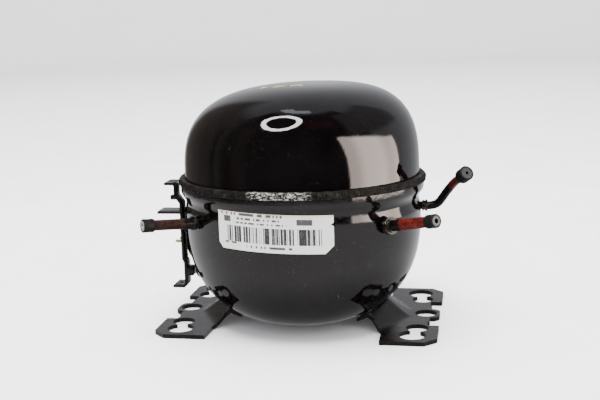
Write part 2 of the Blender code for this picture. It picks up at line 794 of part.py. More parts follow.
def cap(name, tip, angles, radius, tube_radius):
    """A rubber plug cap: a skirt over the tube, a plug inside it and a face with a small hole."""
    direction, turn = aim(*angles)
    start = Vector(tip) - direction * CAP_GRIP
    inner = tube_radius + GAP
    plug = tube_radius - TUBE_WALL - GAP
    seat = CAP_GRIP + GAP
    profile = (
        (CAP_BORE_R, CAP_LENGTH),
        (radius - CAP_ROUND, CAP_LENGTH),
        (radius, CAP_LENGTH - CAP_ROUND),
        (radius, CAP_ROUND),
        (radius - CAP_LIP, 0.0),
        (inner, 0.0),
        (inner, seat),
        (plug, seat),
        (plug, CAP_PLUG_Z + 2 * CAP_LIP),
        (plug - CAP_LIP, CAP_PLUG_Z),
        (CAP_BORE_R, CAP_PLUG_Z),
        (CAP_BORE_R, CAP_LENGTH),
    )
    return turned(name, profile, RUBBER, start, turn, 16)


def tip_of(root, angles, length):
    direction, _ = aim(*angles)
    return Vector(root) + direction * length


def route_angles():
    """Direction of the discharge tube's last stretch."""
    run = Vector(DISCHARGE_ROUTE[-1]) - Vector(DISCHARGE_ROUTE[-2])
    return math.atan2(run.y, run.x), math.atan2(run.z, math.hypot(run.x, run.y))


def smooth_route(points, steps):
    """Points along a Catmull-Rom curve through a few chosen ones."""
    knots = [Vector(p) for p in points]
    ends = [2 * knots[0] - knots[1]] + knots + [2 * knots[-1] - knots[-2]]
    made = []
    for i in range(1, len(ends) - 2):
        a, b, c, d = ends[i - 1 : i + 3]
        for k in range(steps):
            t = k / steps
            bend = (2 * a - 5 * b + 4 * c - d) * t * t
            twist = (3 * b - a - 3 * c + d) * t**3
            made.append(0.5 * (2 * b + (c - a) * t + bend + twist))
    made.append(knots[-1])
    return made


def discharge_tube():
    """The bent discharge connector, hollow from end to end."""
    route = smooth_route(DISCHARGE_ROUTE, 2)
    tube = place("discharge_tube", wire_mesh(route, DISCHARGE_R, 2), COPPER)
    start, end = route[0], route[-1]
    bore_route = [start - (route[1] - start)] + route + [end + (end - route[-2])]
    cut(tube, "discharge_bore", wire_mesh(bore_route, DISCHARGE_R - TUBE_WALL, 2))
    return tube


def connectors():
    suction_root = tube_root(SUCTION_PLACE)
    process_root = tube_root(PROCESS_PLACE)
    straight_tube("suction_tube", suction_root, SUCTION_ANGLES, SUCTION_LENGTH)
    straight_tube("process_tube", process_root, PROCESS_ANGLES, PROCESS_LENGTH)
    discharge_tube()
    suction_share, discharge_share = SHORT_COLLARS
    level = (0.0, 0.0)
    collars = (
        ("suction_collar", suction_root, SUCTION_ANGLES, SUCTION_COLLAR_R, TUBE_R, suction_share),
        ("process_collar", process_root, PROCESS_ANGLES, COLLAR_R, TUBE_R, 1.0),
        ("discharge_collar", DISCHARGE_ROUTE[1], level, DISCHARGE_COLLAR_R, DISCHARGE_R, discharge_share),
    )
    for name, root, angles, radius, bore, share in collars:
        collar(name, root, angles, radius, bore, COLLAR_LENGTH * share)
    suction_tip = tip_of(suction_root, SUCTION_ANGLES, SUCTION_LENGTH)
    process_tip = tip_of(process_root, PROCESS_ANGLES, PROCESS_LENGTH)
    cap("suction_cap", suction_tip, SUCTION_ANGLES, CAP_R, TUBE_R)
    cap("process_cap", process_tip, PROCESS_ANGLES, CAP_R, TUBE_R)
    cap("discharge_cap", DISCHARGE_ROUTE[-1], route_angles(), DISCHARGE_CAP_R, DISCHARGE_R)


# ---------------------------------------------------------------- terminal, bracket and label
def pin_places():
    places = []
    for name, angle in PIN_ANGLES:
        y = PIN_CIRCLE_R * math.cos(math.radians(angle))
        z = TERMINAL_Z + PIN_CIRCLE_R * math.sin(math.radians(angle))
        places.append((name, y, z))
    return places


def terminal():
    """The cup in the wall, three pins through it and the connector on their inner ends."""
    rim_in, rim_out, rim_height = CUP_RIM
    profile = (
        (0.0, TERMINAL_CUP_THICKNESS),
        (TERMINAL_CUP_R - rim_in, TERMINAL_CUP_THICKNESS),
        (TERMINAL_CUP_R - rim_out, TERMINAL_CUP_THICKNESS + rim_height),
        (TERMINAL_CUP_R, TERMINAL_CUP_THICKNESS + rim_height),
        (TERMINAL_CUP_R, 0.0),
        (0.0, 0.0),
    )
    start = (TERMINAL_CUP_X, 0, TERMINAL_Z)
    outward = (0, math.radians(-90), 0)
    cup = turned("terminal_cup", profile, STEEL, start, outward, 28)
    back = TERMINAL_CUP_X + GAP
    low = (back, CONNECTOR_Y[0], CONNECTOR_Z[0])
    high = (PIN_IN_X + CONNECTOR_REACH, CONNECTOR_Y[1], CONNECTOR_Z[1])
    connector = place("terminal_connector", box_mesh(low, high), PLASTIC)
    bevel(connector, CONNECTOR_BEVEL)
    length = PIN_IN_X - PIN_OUT_X
    for name, y, z in pin_places():
        shape = cylinder_mesh(PIN_R, length, 12)
        pin = place("terminal_pin_" + name, shape, BRASS, (PIN_OUT_X, y, z), ALONG_X)
        bevel(pin, PIN_BEVEL)
        hole = cylinder_mesh(PIN_R + GAP, length + GAP, 12)
        cut(cup, "pin_hole_" + name, hole, (PIN_OUT_X, y, z), ALONG_X)
        cut(connector, "socket_" + name, hole.copy(), (PIN_OUT_X, y, z), ALONG_X)


def solid_strip(path, low_y, high_y):
    """A bent strip of sheet metal, made solid by offsetting its path to both sides."""
    upper, lower = [], []
    for i, (x, z) in enumerate(path):
        before = path[max(i - 1, 0)]
        after = path[min(i + 1, len(path) - 1)]
        run = Vector((after[0] - before[0], after[1] - before[1])).normalized()
        shift = Vector((-run.y, run.x)) * BRACKET_SHEET / 2
        upper.append((x + shift.x, z + shift.y))
        lower.append((x - shift.x, z - shift.y))
    ring = upper + lower[::-1]
    rings = [[(x, y, z) for x, z in ring] for y in (low_y, high_y)]

    def build(bm):
        rows = [[bm.verts.new(p) for p in points] for points in rings]
        count = len(ring)
        for i in range(count):
            j = (i + 1) % count
            bm.faces.new((rows[0][i], rows[0][j], rows[1][j], rows[1][i]))
        bm.faces.new(rows[0])
        bm.faces.new(rows[1])
        bmesh.ops.recalc_face_normals(bm, faces=bm.faces)
        bmesh.ops.triangulate(bm, faces=bm.faces)

    return mesh_from(build)


def bracket():
    """The bent strip beside the terminal, with its tabs, shelf, hook and welded lug."""
    low_y, high_y = BRACKET_Y
    back_y = BRACKET_TAB_BACK_Y
    half = BRACKET_SHEET / 2
    made = place("terminal_bracket", solid_strip(BRACKET_PATH, low_y, high_y), FOOT_PAINT)
    top_x, top_z = BRACKET_PATH[0]
    wall_x = BRACKET_PATH[1][0]
    hook_x = BRACKET_PATH[3][0]
    web_x = BRACKET_PATH[4][0]
    strip_x = BRACKET_PATH[6][0]
    base_x = BRACKET_PATH[-2][0]
    low_x, low_z = BRACKET_PATH[-1]
    shelf_x, shelf_z = BRACKET_SHELF
    tab_y = high_y - BRACKET_TAB_OVERLAP
    lug_low = BRACKET_LUG_Z - BRACKET_LUG_HALF
    lug_high = BRACKET_LUG_Z + BRACKET_LUG_HALF
    lug_x = shell_side_x(lug_high, high_y) - 2 * GAP
    hook_out, hook_width = BRACKET_HOOK
    hook_low, hook_high = BRACKET_HOOK_Z
    joined = (
        ("shelf", (shelf_x, low_y, shelf_z - half), (web_x + half / 2, back_y, shelf_z + half)),
        ("top_tab", (top_x, tab_y, top_z - half), (wall_x, back_y, top_z + half)),
        ("base_tab", (low_x, tab_y, low_z - half), (base_x, back_y, low_z + half)),
        ("lug", (strip_x, low_y, lug_low), (lug_x, high_y, lug_high)),
        ("hook", (hook_x - hook_out, low_y, hook_low), (hook_x, low_y + hook_width, hook_high)),
    )
    for name, low, high in joined:
        cut(made, name, box_mesh(low, high), operation="UNION")
    hole_y = (low_y + back_y) / 2
    top_hole = ((top_x + wall_x) / 2, hole_y, top_z - 2 * BRACKET_SHEET)
    base_hole = ((low_x + base_x) / 2, hole_y, low_z - 2 * BRACKET_SHEET)
    cut(made, "top_tab_hole", cylinder_mesh(TOP_TAB_HOLE_R, 4 * BRACKET_SHEET, 12), top_hole)
    cut(made, "base_tab_hole", cylinder_mesh(BASE_TAB_HOLE_R, 4 * BRACKET_SHEET, 10), base_hole)


def shell_side_x(z, y):
    """The bowl's outer surface on the terminal side, at a height."""
    low, high = -SHELL_HALF_LENGTH, -0.040
    for _ in range(40):
        middle = (low + high) / 2
        height = bowl_height(middle, y)
        if height is None or height > z:
            low = middle
        else:
            high = middle
    return (low + high) / 2


def front_y(x, z):
    """The lower shell's outer surface on the label side."""
    if z >= BULGE_Z:
        outset = wall_outset(z)
        share = (x - SHELL_CENTRE_X) / (SHELL_HALF_LENGTH + outset)
        return -(SHELL_HALF_WIDTH + outset) * math.sqrt(1 - share * share)
    near, far = -0.040, -(SHELL_HALF_WIDTH + BULGE_OUTSET)
    for _ in range(40):
        middle = (near + far) / 2
        height = bowl_height(x, middle)
        if height is None or height > z:
            far = middle
        else:
            near = middle
    return (near + far) / 2


def label():
    columns, levels = LABEL_CELLS
    rows = []
    for k in range(levels + 1):
        z = LABEL_Z[0] + (LABEL_Z[1] - LABEL_Z[0]) * k / levels
        row = []
        for i in range(columns + 1):
            x = LABEL_X[0] + (LABEL_X[1] - LABEL_X[0]) * i / columns
            row.append((x, front_y(x, z) - 2 * GAP, z))
        rows.append(row)
    sheet = place("label_plate", sheet_mesh(rows), PAPER)
    wall = sheet.modifiers.new("sheet", "SOLIDIFY")
    wall.thickness = LABEL_SHEET
    wall.offset = 1.0


# ---------------------------------------------------------------- suspension
def corners():
    return (("rear_right", 1, 1), ("rear_left", -1, 1), ("front_left", -1, -1), ("front_right", 1, -1))


def suspension(frame_axis):
    for name, sx, sy in corners():
        x, y = sx * BOLT_PITCH, sy * BOLT_PITCH
        outer = bowl_height(abs(x) + SEAT_REACH, abs(y) + SEAT_REACH)
        foot_z = outer + SHELL_WALL * 1.25 + GAP
        seat_z = SPRING_LOW_Z - GAP
        stud_profile = (
            (0.0, seat_z + PEG_HEIGHT),
            (PEG_R, seat_z + PEG_HEIGHT - PEG_BEVEL),
            (PEG_R, seat_z),
            (SEAT_R, seat_z),
            (SEAT_R, seat_z - SEAT_THICKNESS),
            (PEG_R, foot_z),
            (0.0, foot_z),
        )
        turned("spring_stud_" + name, stud_profile, STEEL, (x, y, 0), steps=12)
        spring = place("spring_" + name, spring_mesh(), STEEL, (x, y, 0))
        ride(spring, frame_axis)
        stator_bolt(name, x, y, frame_axis)


def spring_mesh():
    low = SPRING_LOW_Z + SPRING_WIRE_R
    high = SPRING_TOP_Z - SPRING_WIRE_R
    count = SPRING_TURNS * SPRING_POINTS
    points = []
    for i in range(count + 1):
        angle = 2 * math.pi * i / SPRING_POINTS
        z = low + (high - low) * i / count
        points.append((SPRING_R * math.cos(angle), SPRING_R * math.sin(angle), z))
    return wire_mesh(points, SPRING_WIRE_R, 1)


def stator_bolt(name, x, y, frame_axis):
    head_top = STATOR_Z[0] - GAP
    head_low = SPRING_TOP_Z + GAP
    profile = (
        (0.0, PLATE_Z[1] - BOLT_END_DEPTH),
        (BOLT_R, PLATE_Z[1] - BOLT_END_DEPTH),
        (BOLT_R, head_top),
        (BOLT_HEAD_R, head_top),
        (BOLT_HEAD_R, head_low),
        (PEG_R, head_low),
        (PEG_R, head_low - PEG_HEIGHT + PEG_BEVEL),
        (0.0, head_low - PEG_HEIGHT),
    )
    ride(turned("stator_bolt_" + name, profile, STEEL, (x, y, 0), steps=12), frame_axis)


# ---------------------------------------------------------------- motor
def stator(frame_axis):
    half, chamfer = STATOR_HALF, STATOR_CHAMFER
    edge = half - chamfer
    outer = [(half, -edge), (half, edge), (edge, half), (-edge, half)]
    outer += [(-half, edge), (-half, -edge), (-edge, -half), (edge, -half)]
    inner = []
    for slot in range(STATOR_SLOTS):
        middle = 2 * math.pi * slot / STATOR_SLOTS
        for radius, side in ((STATOR_BORE_R, -1), (SLOT_OUTER_R, -1), (SLOT_OUTER_R, 1), (STATOR_BORE_R, 1)):
            angle = middle + math.asin(side * SLOT_WIDTH / 2 / radius)
            inner.append((radius * math.cos(angle), radius * math.sin(angle)))
    height = STATOR_Z[1] - STATOR_Z[0]
    core = place("stator_core", outline_mesh([outer, inner], STATOR_Z[0], height), LAMINATION)
    for name, sx, sy in corners():
        start = (sx * BOLT_PITCH, sy * BOLT_PITCH, STATOR_Z[0] - JOIN)
        cut(core, "bolt_hole_" + name, cylinder_mesh(BOLT_HOLE_R, height + 2 * JOIN, 12), start)
    ride(core, frame_axis)
    inner_r, outer_r = WINDING_R
    round_off = WINDING_ROUND
    for name, low in (
        ("winding_upper", STATOR_Z[1] + GAP),
        ("winding_lower", STATOR_Z[0] - GAP - WINDING_HEIGHT),
    ):
        high = low + WINDING_HEIGHT
        profile = (
            (inner_r, high - round_off),
            (inner_r + round_off, high),
            (outer_r - round_off, high),
            (outer_r, high - round_off),
            (outer_r, low + round_off),
            (outer_r - round_off, low),
            (inner_r + round_off, low),
            (inner_r, low + round_off),
            (inner_r, high - round_off),
        )
        ride(turned(name, profile, WIRE, steps=24), frame_axis)


def rotor(crank_axis):
    radius = STATOR_BORE_R - ROTOR_AIR_GAP
    hole = SHAFT_R + GAP
    low, high = STATOR_Z
    profile = ((hole, high), (radius, high), (radius, low), (hole, low), (hole, high))
    ride(turned("rotor_core", profile, LAMINATION, steps=40), crank_axis)
    ring_in, ring_out = ROTOR_RING_R
    for name, low in (
        ("rotor_ring_upper", STATOR_Z[1] + GAP),
        ("rotor_ring_lower", STATOR_Z[0] - GAP - ROTOR_RING_HEIGHT),
    ):
        high = low + ROTOR_RING_HEIGHT
        ring = ((ring_in, high), (ring_out, high), (ring_out, low), (ring_in, low), (ring_in, high))
        ride(turned(name, ring, ALUMINIUM, steps=24), crank_axis)


# ---------------------------------------------------------------- pump
def crankshaft(crank_axis):
    web_low = PLATE_Z[1] + GAP
    web_high = web_low + WEB_HEIGHT
    shaft_profile = (
        (0.0, web_high),
        (WEB_R, web_high),
        (WEB_R, web_low),
        (SHAFT_R, web_low),
        (SHAFT_R, SHAFT_LOW_Z),
        (0.0, SHAFT_LOW_Z),
    )
    shaft = turned("crankshaft", shaft_profile, IRON, steps=32)
    pin = cylinder_mesh(CRANK_PIN_R, CRANK_PIN_TOP_Z - web_high + JOIN, 20)
    cut(shaft, "crank_pin", pin, (0, -THROW, web_high - JOIN), operation="UNION")
    neck_half, neck_y = WEIGHT_NECK
    outline = arc((0, 0), WEIGHT_R, *WEIGHT_ARC, 10) + [(-neck_half, neck_y), (neck_half, neck_y)]
    weight = outline_mesh([outline], web_low + WEIGHT_INSET, WEB_HEIGHT - 2 * WEIGHT_INSET)
    cut(shaft, "counterweight", weight, operation="UNION")
    ride(shaft, crank_axis)
    bore_r, outer_r = PICKUP_R
    tip_bore_r, tip_r = PICKUP_TIP_R
    top_z = SHAFT_LOW_Z - GAP
    neck_z = SHAFT_LOW_Z - PICKUP_NECK
    pickup_profile = (
        (bore_r, top_z),
        (outer_r, top_z),
        (outer_r, neck_z),
        (tip_r, PICKUP_LOW_Z),
        (tip_bore_r, PICKUP_LOW_Z),
        (bore_r, neck_z),
        (bore_r, top_z),
    )
    ride(turned("oil_pickup", pickup_profile, STEEL, steps=16), crank_axis)


def block(frame_axis):
    """Main casting: plate, four legs, bearing hub and cylinder barrel."""
    low, high = PLATE_Z
    half, edge = PLATE_HALF, PLATE_HALF - PLATE_CORNER
    quarter = [(half, -edge), (half, edge), (edge, half), (-edge, half)]
    plate = quarter + [(-x, -y) for x, y in quarter]
    casting = place("cylinder_block", outline_mesh([plate], low, high - low), IRON)
    hub = cylinder_mesh(HUB_R, low - HUB_LOW_Z + JOIN, 28)
    cut(casting, "hub", hub, (0, 0, HUB_LOW_Z), operation="UNION")
    leg_z = STATOR_Z[1] + GAP
    for name, sx, sy in corners():
        leg = cylinder_mesh(LEG_R, low - leg_z + JOIN / 2, 14)
        cut(casting, "leg_" + name, leg, (sx * BOLT_PITCH, sy * BOLT_PITCH, leg_z), operation="UNION")
    near, far = BARREL_X
    barrel = box_mesh((near, -BARREL_HALF, high - JOIN / 2), (far, BARREL_HALF, CYLINDER_Z + BARREL_HALF))
    cut(casting, "barrel", barrel, operation="UNION")
    bearing = cylinder_mesh(SHAFT_R + RUN, high - HUB_LOW_Z + 2 * JOIN, 32)
    cut(casting, "bearing_bore", bearing, (0, 0, HUB_LOW_Z - JOIN))
    cylinder = cylinder_mesh(BORE_R, far - near + 2 * JOIN, 32)
    cut(casting, "cylinder_bore", cylinder, (near - JOIN, 0, CYLINDER_Z), ALONG_X)
    for name, sx, sy in corners():
        start = (sx * BOLT_PITCH, sy * BOLT_PITCH, STATOR_Z[1] - JOIN)
        depth = high - BOLT_BORE_COVER - start[2]
        cut(casting, "bolt_bore_" + name, cylinder_mesh(BOLT_HOLE_R, depth, 12), start)
    depth = HEAD_BOLT_GRIP + HEAD_BOLT_BORE_END
    for y, z in head_bolts():
        hole = cylinder_mesh(HEAD_BOLT_R + GAP, depth + JOIN, 10)
        cut(casting, "head_bolt_bore", hole, (far - depth, y, z), ALONG_X)
    ride(casting, frame_axis)


def head_bolts():
    return [(sy * HEAD_BOLT_PITCH, CYLINDER_Z + sz * HEAD_BOLT_PITCH) for sy in (-1, 1) for sz in (-1, 1)]


def head_places():
    """Where the gasket, the valve plate and the head start along the cylinder's axis."""
    gasket_x = BARREL_X[1] + GAP
    plate_x = gasket_x + GASKET_THICKNESS + GAP
    head_x = plate_x + VALVE_PLATE_THICKNESS + GAP
    return gasket_x, plate_x, head_x


def head_slab(name, start_x, thickness, finish):
    half = BARREL_HALF
    low = (start_x, -half, CYLINDER_Z - half)
    high = (start_x + thickness, half, CYLINDER_Z + half)
    return place(name, box_mesh(low, high), finish)


def head_stack(frame_axis):
    """Gasket, valve plate, cylinder head, and the four bolts through them."""
    gasket_x, plate_x, head_x = head_places()
    gasket = head_slab("head_gasket", gasket_x, GASKET_THICKNESS, GASKET)
    bore = cylinder_mesh(BORE_R + GASKET_CLEAR, GASKET_THICKNESS + 2 * JOIN, 24)
    cut(gasket, "gasket_bore", bore, (gasket_x - JOIN, 0, CYLINDER_Z), ALONG_X)
    plate = head_slab("valve_plate", plate_x, VALVE_PLATE_THICKNESS, STEEL)
    ports = (
        ("suction_port", PORT_OFFSET, SUCTION_PORT_R),
        ("discharge_port", -PORT_OFFSET, DISCHARGE_PORT_R),
    )
    for name, y, radius in ports:
        port = cylinder_mesh(radius, VALVE_PLATE_THICKNESS + 2 * JOIN, 12)
        cut(plate, name, port, (plate_x - JOIN, y, CYLINDER_Z + PORT_RISE), ALONG_X)
    head = head_slab("cylinder_head", head_x, HEAD_THICKNESS, ALUMINIUM)
    near_y, far_y = CHAMBER_Y
    low_z = CYLINDER_Z - BARREL_HALF + CHAMBER_INSET[0]
    high_z = CYLINDER_Z + BARREL_HALF - CHAMBER_INSET[1]
    depth_x = head_x + HEAD_THICKNESS - CHAMBER_COVER
    for name, low_y, high_y in (("suction_chamber", near_y, far_y), ("discharge_chamber", -far_y, -near_y)):
        cut(head, name, box_mesh((head_x - JOIN, low_y, low_z), (depth_x, high_y, high_z)))
    inlet_x, inlet_y, inlet_z = INLET
    inlet = (head_x + inlet_x, inlet_y, CYLINDER_Z + inlet_z)
    cut(head, "suction_inlet", cylinder_mesh(INLET_R, BARREL_HALF, 12), inlet, (math.radians(-90), 0, 0))
    head_face = head_x + HEAD_THICKNESS + GAP
    shank = head_face - BARREL_X[1] + HEAD_BOLT_GRIP
    for piece in (gasket, plate, head):
        for y, z in head_bolts():
            hole = cylinder_mesh(HEAD_BOLT_R + GAP, shank, 10)
            cut(piece, "bolt_bore", hole, (BARREL_X[1] - JOIN, y, z), ALONG_X)
        ride(piece, frame_axis)
    head_r, head_height = HEAD_BOLT_HEAD
    profile = (
        (0.0, shank + head_height),
        (head_r, shank + head_height),
        (head_r, shank),
        (HEAD_BOLT_R, shank),
        (HEAD_BOLT_R, 0.0),
        (0.0, 0.0),
    )
    names = ("front_lower", "front_upper", "rear_lower", "rear_upper")
    for name, (y, z) in zip(names, head_bolts()):
        bolt = turned("head_bolt_" + name, profile, STEEL, (head_face - shank, y, z), ALONG_X, steps=10)
        ride(bolt, frame_axis)


def reed(name, x, y, axis_parent):
    """A valve reed: a thin tongue that bends about its clamped end."""
    low_z = CYLINDER_Z - REED_ROOT
    hinge = axis_empty(name + "_axis", (x, y, low_z))
    ride(hinge, axis_parent)
    tip = arc((0, REED_LENGTH - REED_WIDTH / 2), REED_WIDTH / 2, 0, 180, 6)
    tongue = [(-REED_WIDTH / 2, 0.0), (REED_WIDTH / 2, 0.0)] + tip
    mesh = outline_mesh([tongue], -REED_SHEET / 2, REED_SHEET)
    made = place(name, mesh, STEEL, (x, y, low_z), (math.radians(90), 0, math.radians(90)))
    ride(made, hinge)


def piston(frame_axis):
    """Piston, wrist pin and connecting rod, shown at mid-stroke."""
    mean_offset = THROW * (1 + math.cos(CRANK_SWING)) / 2
    wrist_x = math.sqrt(ROD_LENGTH**2 - THROW**2)
    axis = axis_empty("piston_axis", (wrist_x, 0, CYLINDER_Z))
    ride(axis, frame_axis)
    radius = BORE_R - RUN
    tail = PISTON_CROWN - PISTON_LENGTH
    profile = (
        (0.0, PISTON_CROWN),
        (radius, PISTON_CROWN),
        (radius, tail),
        (PISTON_CAVITY_R, tail),
        (PISTON_CAVITY_R, PISTON_CROWN - PISTON_TOP),
        (0.0, PISTON_CROWN - PISTON_TOP),
    )
    body = turned("piston", profile, ALUMINIUM, (wrist_x, 0, CYLINDER_Z), ALONG_X, steps=32)
    pin_hole = cylinder_mesh(WRIST_PIN_R + GAP, 4 * WRIST_PIN_HALF, 16)
    cut(body, "wrist_pin_bore", pin_hole, (wrist_x, 0, CYLINDER_Z - 2 * WRIST_PIN_HALF))
    pin_shape = cylinder_mesh(WRIST_PIN_R, 2 * WRIST_PIN_HALF, 16)
    pin = place("wrist_pin", pin_shape, STEEL, (wrist_x, 0, CYLINDER_Z - WRIST_PIN_HALF))
    big_x = wrist_x - math.sqrt(ROD_LENGTH**2 - mean_offset**2)
    tilt = (0, 0, math.atan2(mean_offset, wrist_x - big_x))
    bore_r, eye_r = ROD_EYE_R
    height = 2 * ROD_HALF_HEIGHT
    low = CYLINDER_Z - ROD_HALF_HEIGHT
    big_end = (big_x, -mean_offset, low)
    rod = place("connecting_rod", cylinder_mesh(eye_r, height, 24), ALUMINIUM, big_end, tilt)
    near = (bore_r, -ROD_BEAM_HALF, ROD_BEAM_INSET)
    far = (ROD_LENGTH - ROD_SMALL_EYE_R / 2, ROD_BEAM_HALF, height - ROD_BEAM_INSET)
    cut(rod, "rod_beam", box_mesh(near, far), big_end, tilt, "UNION")
    cut(rod, "small_eye", cylinder_mesh(ROD_SMALL_EYE_R, height, 20), (wrist_x, 0, low), operation="UNION")
    cut(rod, "big_bore", cylinder_mesh(bore_r, height + 2 * JOIN, 24), (big_x, -mean_offset, low - JOIN))
    small_bore = cylinder_mesh(WRIST_PIN_R + GAP, height + 2 * JOIN, 16)
    cut(rod, "small_bore", small_bore, (wrist_x, 0, low - JOIN))
    for piece in (body, pin, rod):
        ride(piece, axis)


# ---------------------------------------------------------------- gas and current paths inside
def mufflers(frame_axis):
    head_x = head_places()[2]
    chamber = place("suction_muffler", box_mesh(*MUFFLER_BOX), PLASTIC)
    bevel(chamber, MUFFLER_BEVEL, 2)
    near = (MUFFLER_NECK_X, BARREL_HALF + GAP, CYLINDER_Z + MUFFLER_NECK_Z[0])
    far = (head_x + MUFFLER_NECK_REACH, MUFFLER_NECK_Y, CYLINDER_Z + MUFFLER_NECK_Z[1])
    cut(chamber, "muffler_neck", box_mesh(near, far), operation="UNION")
    ride(chamber, frame_axis)
    low = PLATE_Z[1] + GAP
    shoulder_r, wall_r, foot_r = CAN_R
    crown_z, shoulder_z, wall_z, foot_z = CAN_Z
    profile = (
        (0.0, low + crown_z),
        (shoulder_r, low + shoulder_z),
        (wall_r, low + wall_z),
        (wall_r, low + foot_z),
        (foot_r, low),
        (0.0, low),
    )
    ride(turned("discharge_muffler", profile, STEEL, (*CAN_PLACE, 0), steps=20), frame_axis)


def flexible_lines(frame_axis):
    loop = place("discharge_loop", wire_mesh(smooth_route(LOOP_ROUTE, 2), LOOP_R, 1), COPPER)
    ride(loop, frame_axis)
    lead = place("motor_lead", wire_mesh(smooth_route(LEAD_ROUTE, 2), LEAD_R, 1), PLASTIC)
    ride(lead, frame_axis)


# ---------------------------------------------------------------- assembly
base = axis_empty("compressor_base", (0, 0, 0))
suspended = axis_empty("suspended_body", (0, 0, SPRING_TOP_Z))
crank = axis_empty("crank_axis", (0, 0, PLATE_Z[1]))
ride(crank, suspended)

lower_shell()
upper_shell()
seam_weld()
foot("foot_right", 1)
foot("foot_left", -1)
connectors()
terminal()
bracket()
label()
suspension(suspended)
stator(suspended)
rotor(crank)
crankshaft(crank)
block(suspended)
head_stack(suspended)
_, valve_x, head_face_x = head_places()
reed("suction_reed", valve_x - GAP - REED_SHEET / 2, PORT_OFFSET, suspended)
reed("discharge_reed", head_face_x + REED_SHEET / 2, -PORT_OFFSET, suspended)
piston(suspended)
mufflers(suspended)
flexible_lines(suspended)

base.location.x = -ORIGIN_X
for item in bpy.data.objects:
    if item.parent is None and item is not base:
        item.parent = base
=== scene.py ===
"""The visible surfaces of a hermetic reciprocating compressor and the studio round it.

Metres, +Z up, floor at z = 0, terminal side at -X, label side at -Y.
"""

import json
import math

import bmesh
import bpy
from bpy.props import FloatProperty, FloatVectorProperty, IntProperty, PointerProperty
from mathutils import Matrix, Vector, noise
from mathutils.bvhtree import BVHTree


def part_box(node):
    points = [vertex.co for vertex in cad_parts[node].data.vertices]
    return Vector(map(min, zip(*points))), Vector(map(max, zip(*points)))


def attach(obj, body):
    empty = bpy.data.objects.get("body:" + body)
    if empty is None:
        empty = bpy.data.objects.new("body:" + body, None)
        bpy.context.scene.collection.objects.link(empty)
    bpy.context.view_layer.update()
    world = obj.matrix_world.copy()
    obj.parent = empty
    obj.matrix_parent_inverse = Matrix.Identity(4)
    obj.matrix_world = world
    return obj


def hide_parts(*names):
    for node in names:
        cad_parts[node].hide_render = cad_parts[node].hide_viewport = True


bl_info = {
    "name": "Hermetic compressor",
    "version": (1, 0, 0),
    "blender": (4, 5, 0),
    "location": "View3D > Sidebar > Compressor",
    "description": "Builds the visible surfaces of a hermetic reciprocating compressor and its studio",
    "category": "Object",
}

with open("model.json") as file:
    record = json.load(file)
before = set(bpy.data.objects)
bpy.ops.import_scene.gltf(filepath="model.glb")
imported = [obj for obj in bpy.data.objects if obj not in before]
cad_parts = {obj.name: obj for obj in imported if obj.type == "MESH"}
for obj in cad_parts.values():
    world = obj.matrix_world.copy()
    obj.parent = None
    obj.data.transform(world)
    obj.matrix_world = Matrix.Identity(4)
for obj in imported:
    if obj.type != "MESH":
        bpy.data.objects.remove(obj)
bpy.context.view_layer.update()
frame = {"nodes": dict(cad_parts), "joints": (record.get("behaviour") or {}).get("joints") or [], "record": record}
JOINTS = {joint["name"]: joint for joint in frame["joints"]}
LID_LOW, LID_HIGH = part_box("upper_shell")
BOWL_LOW, BOWL_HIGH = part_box("lower_shell")
BEAD_LOW, BEAD_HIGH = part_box("seam_weld")
LABEL_LOW, LABEL_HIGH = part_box("label_plate")
FOOT_LOW, FOOT_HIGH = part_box("foot_right")
PATTERN_X = -0.0090  # middle of the feet's hole patterns
PIECE_GAP = 0.0003


# ---------------------------------------------------------------- settings
def size(name, description, default):
    return FloatProperty(name=name, description=description, default=default, unit="LENGTH", precision=5)


def number(name, description, default):
    return FloatProperty(name=name, description=description, default=default)


def count(name, description, default):
    return IntProperty(name=name, description=description, default=default)


def colour(name, description, default):
    return FloatVectorProperty(name=name, description=description, default=default, subtype="COLOR", size=3)


def triple(name, description, default):
    return FloatVectorProperty(name=name, description=description, default=default, size=3)


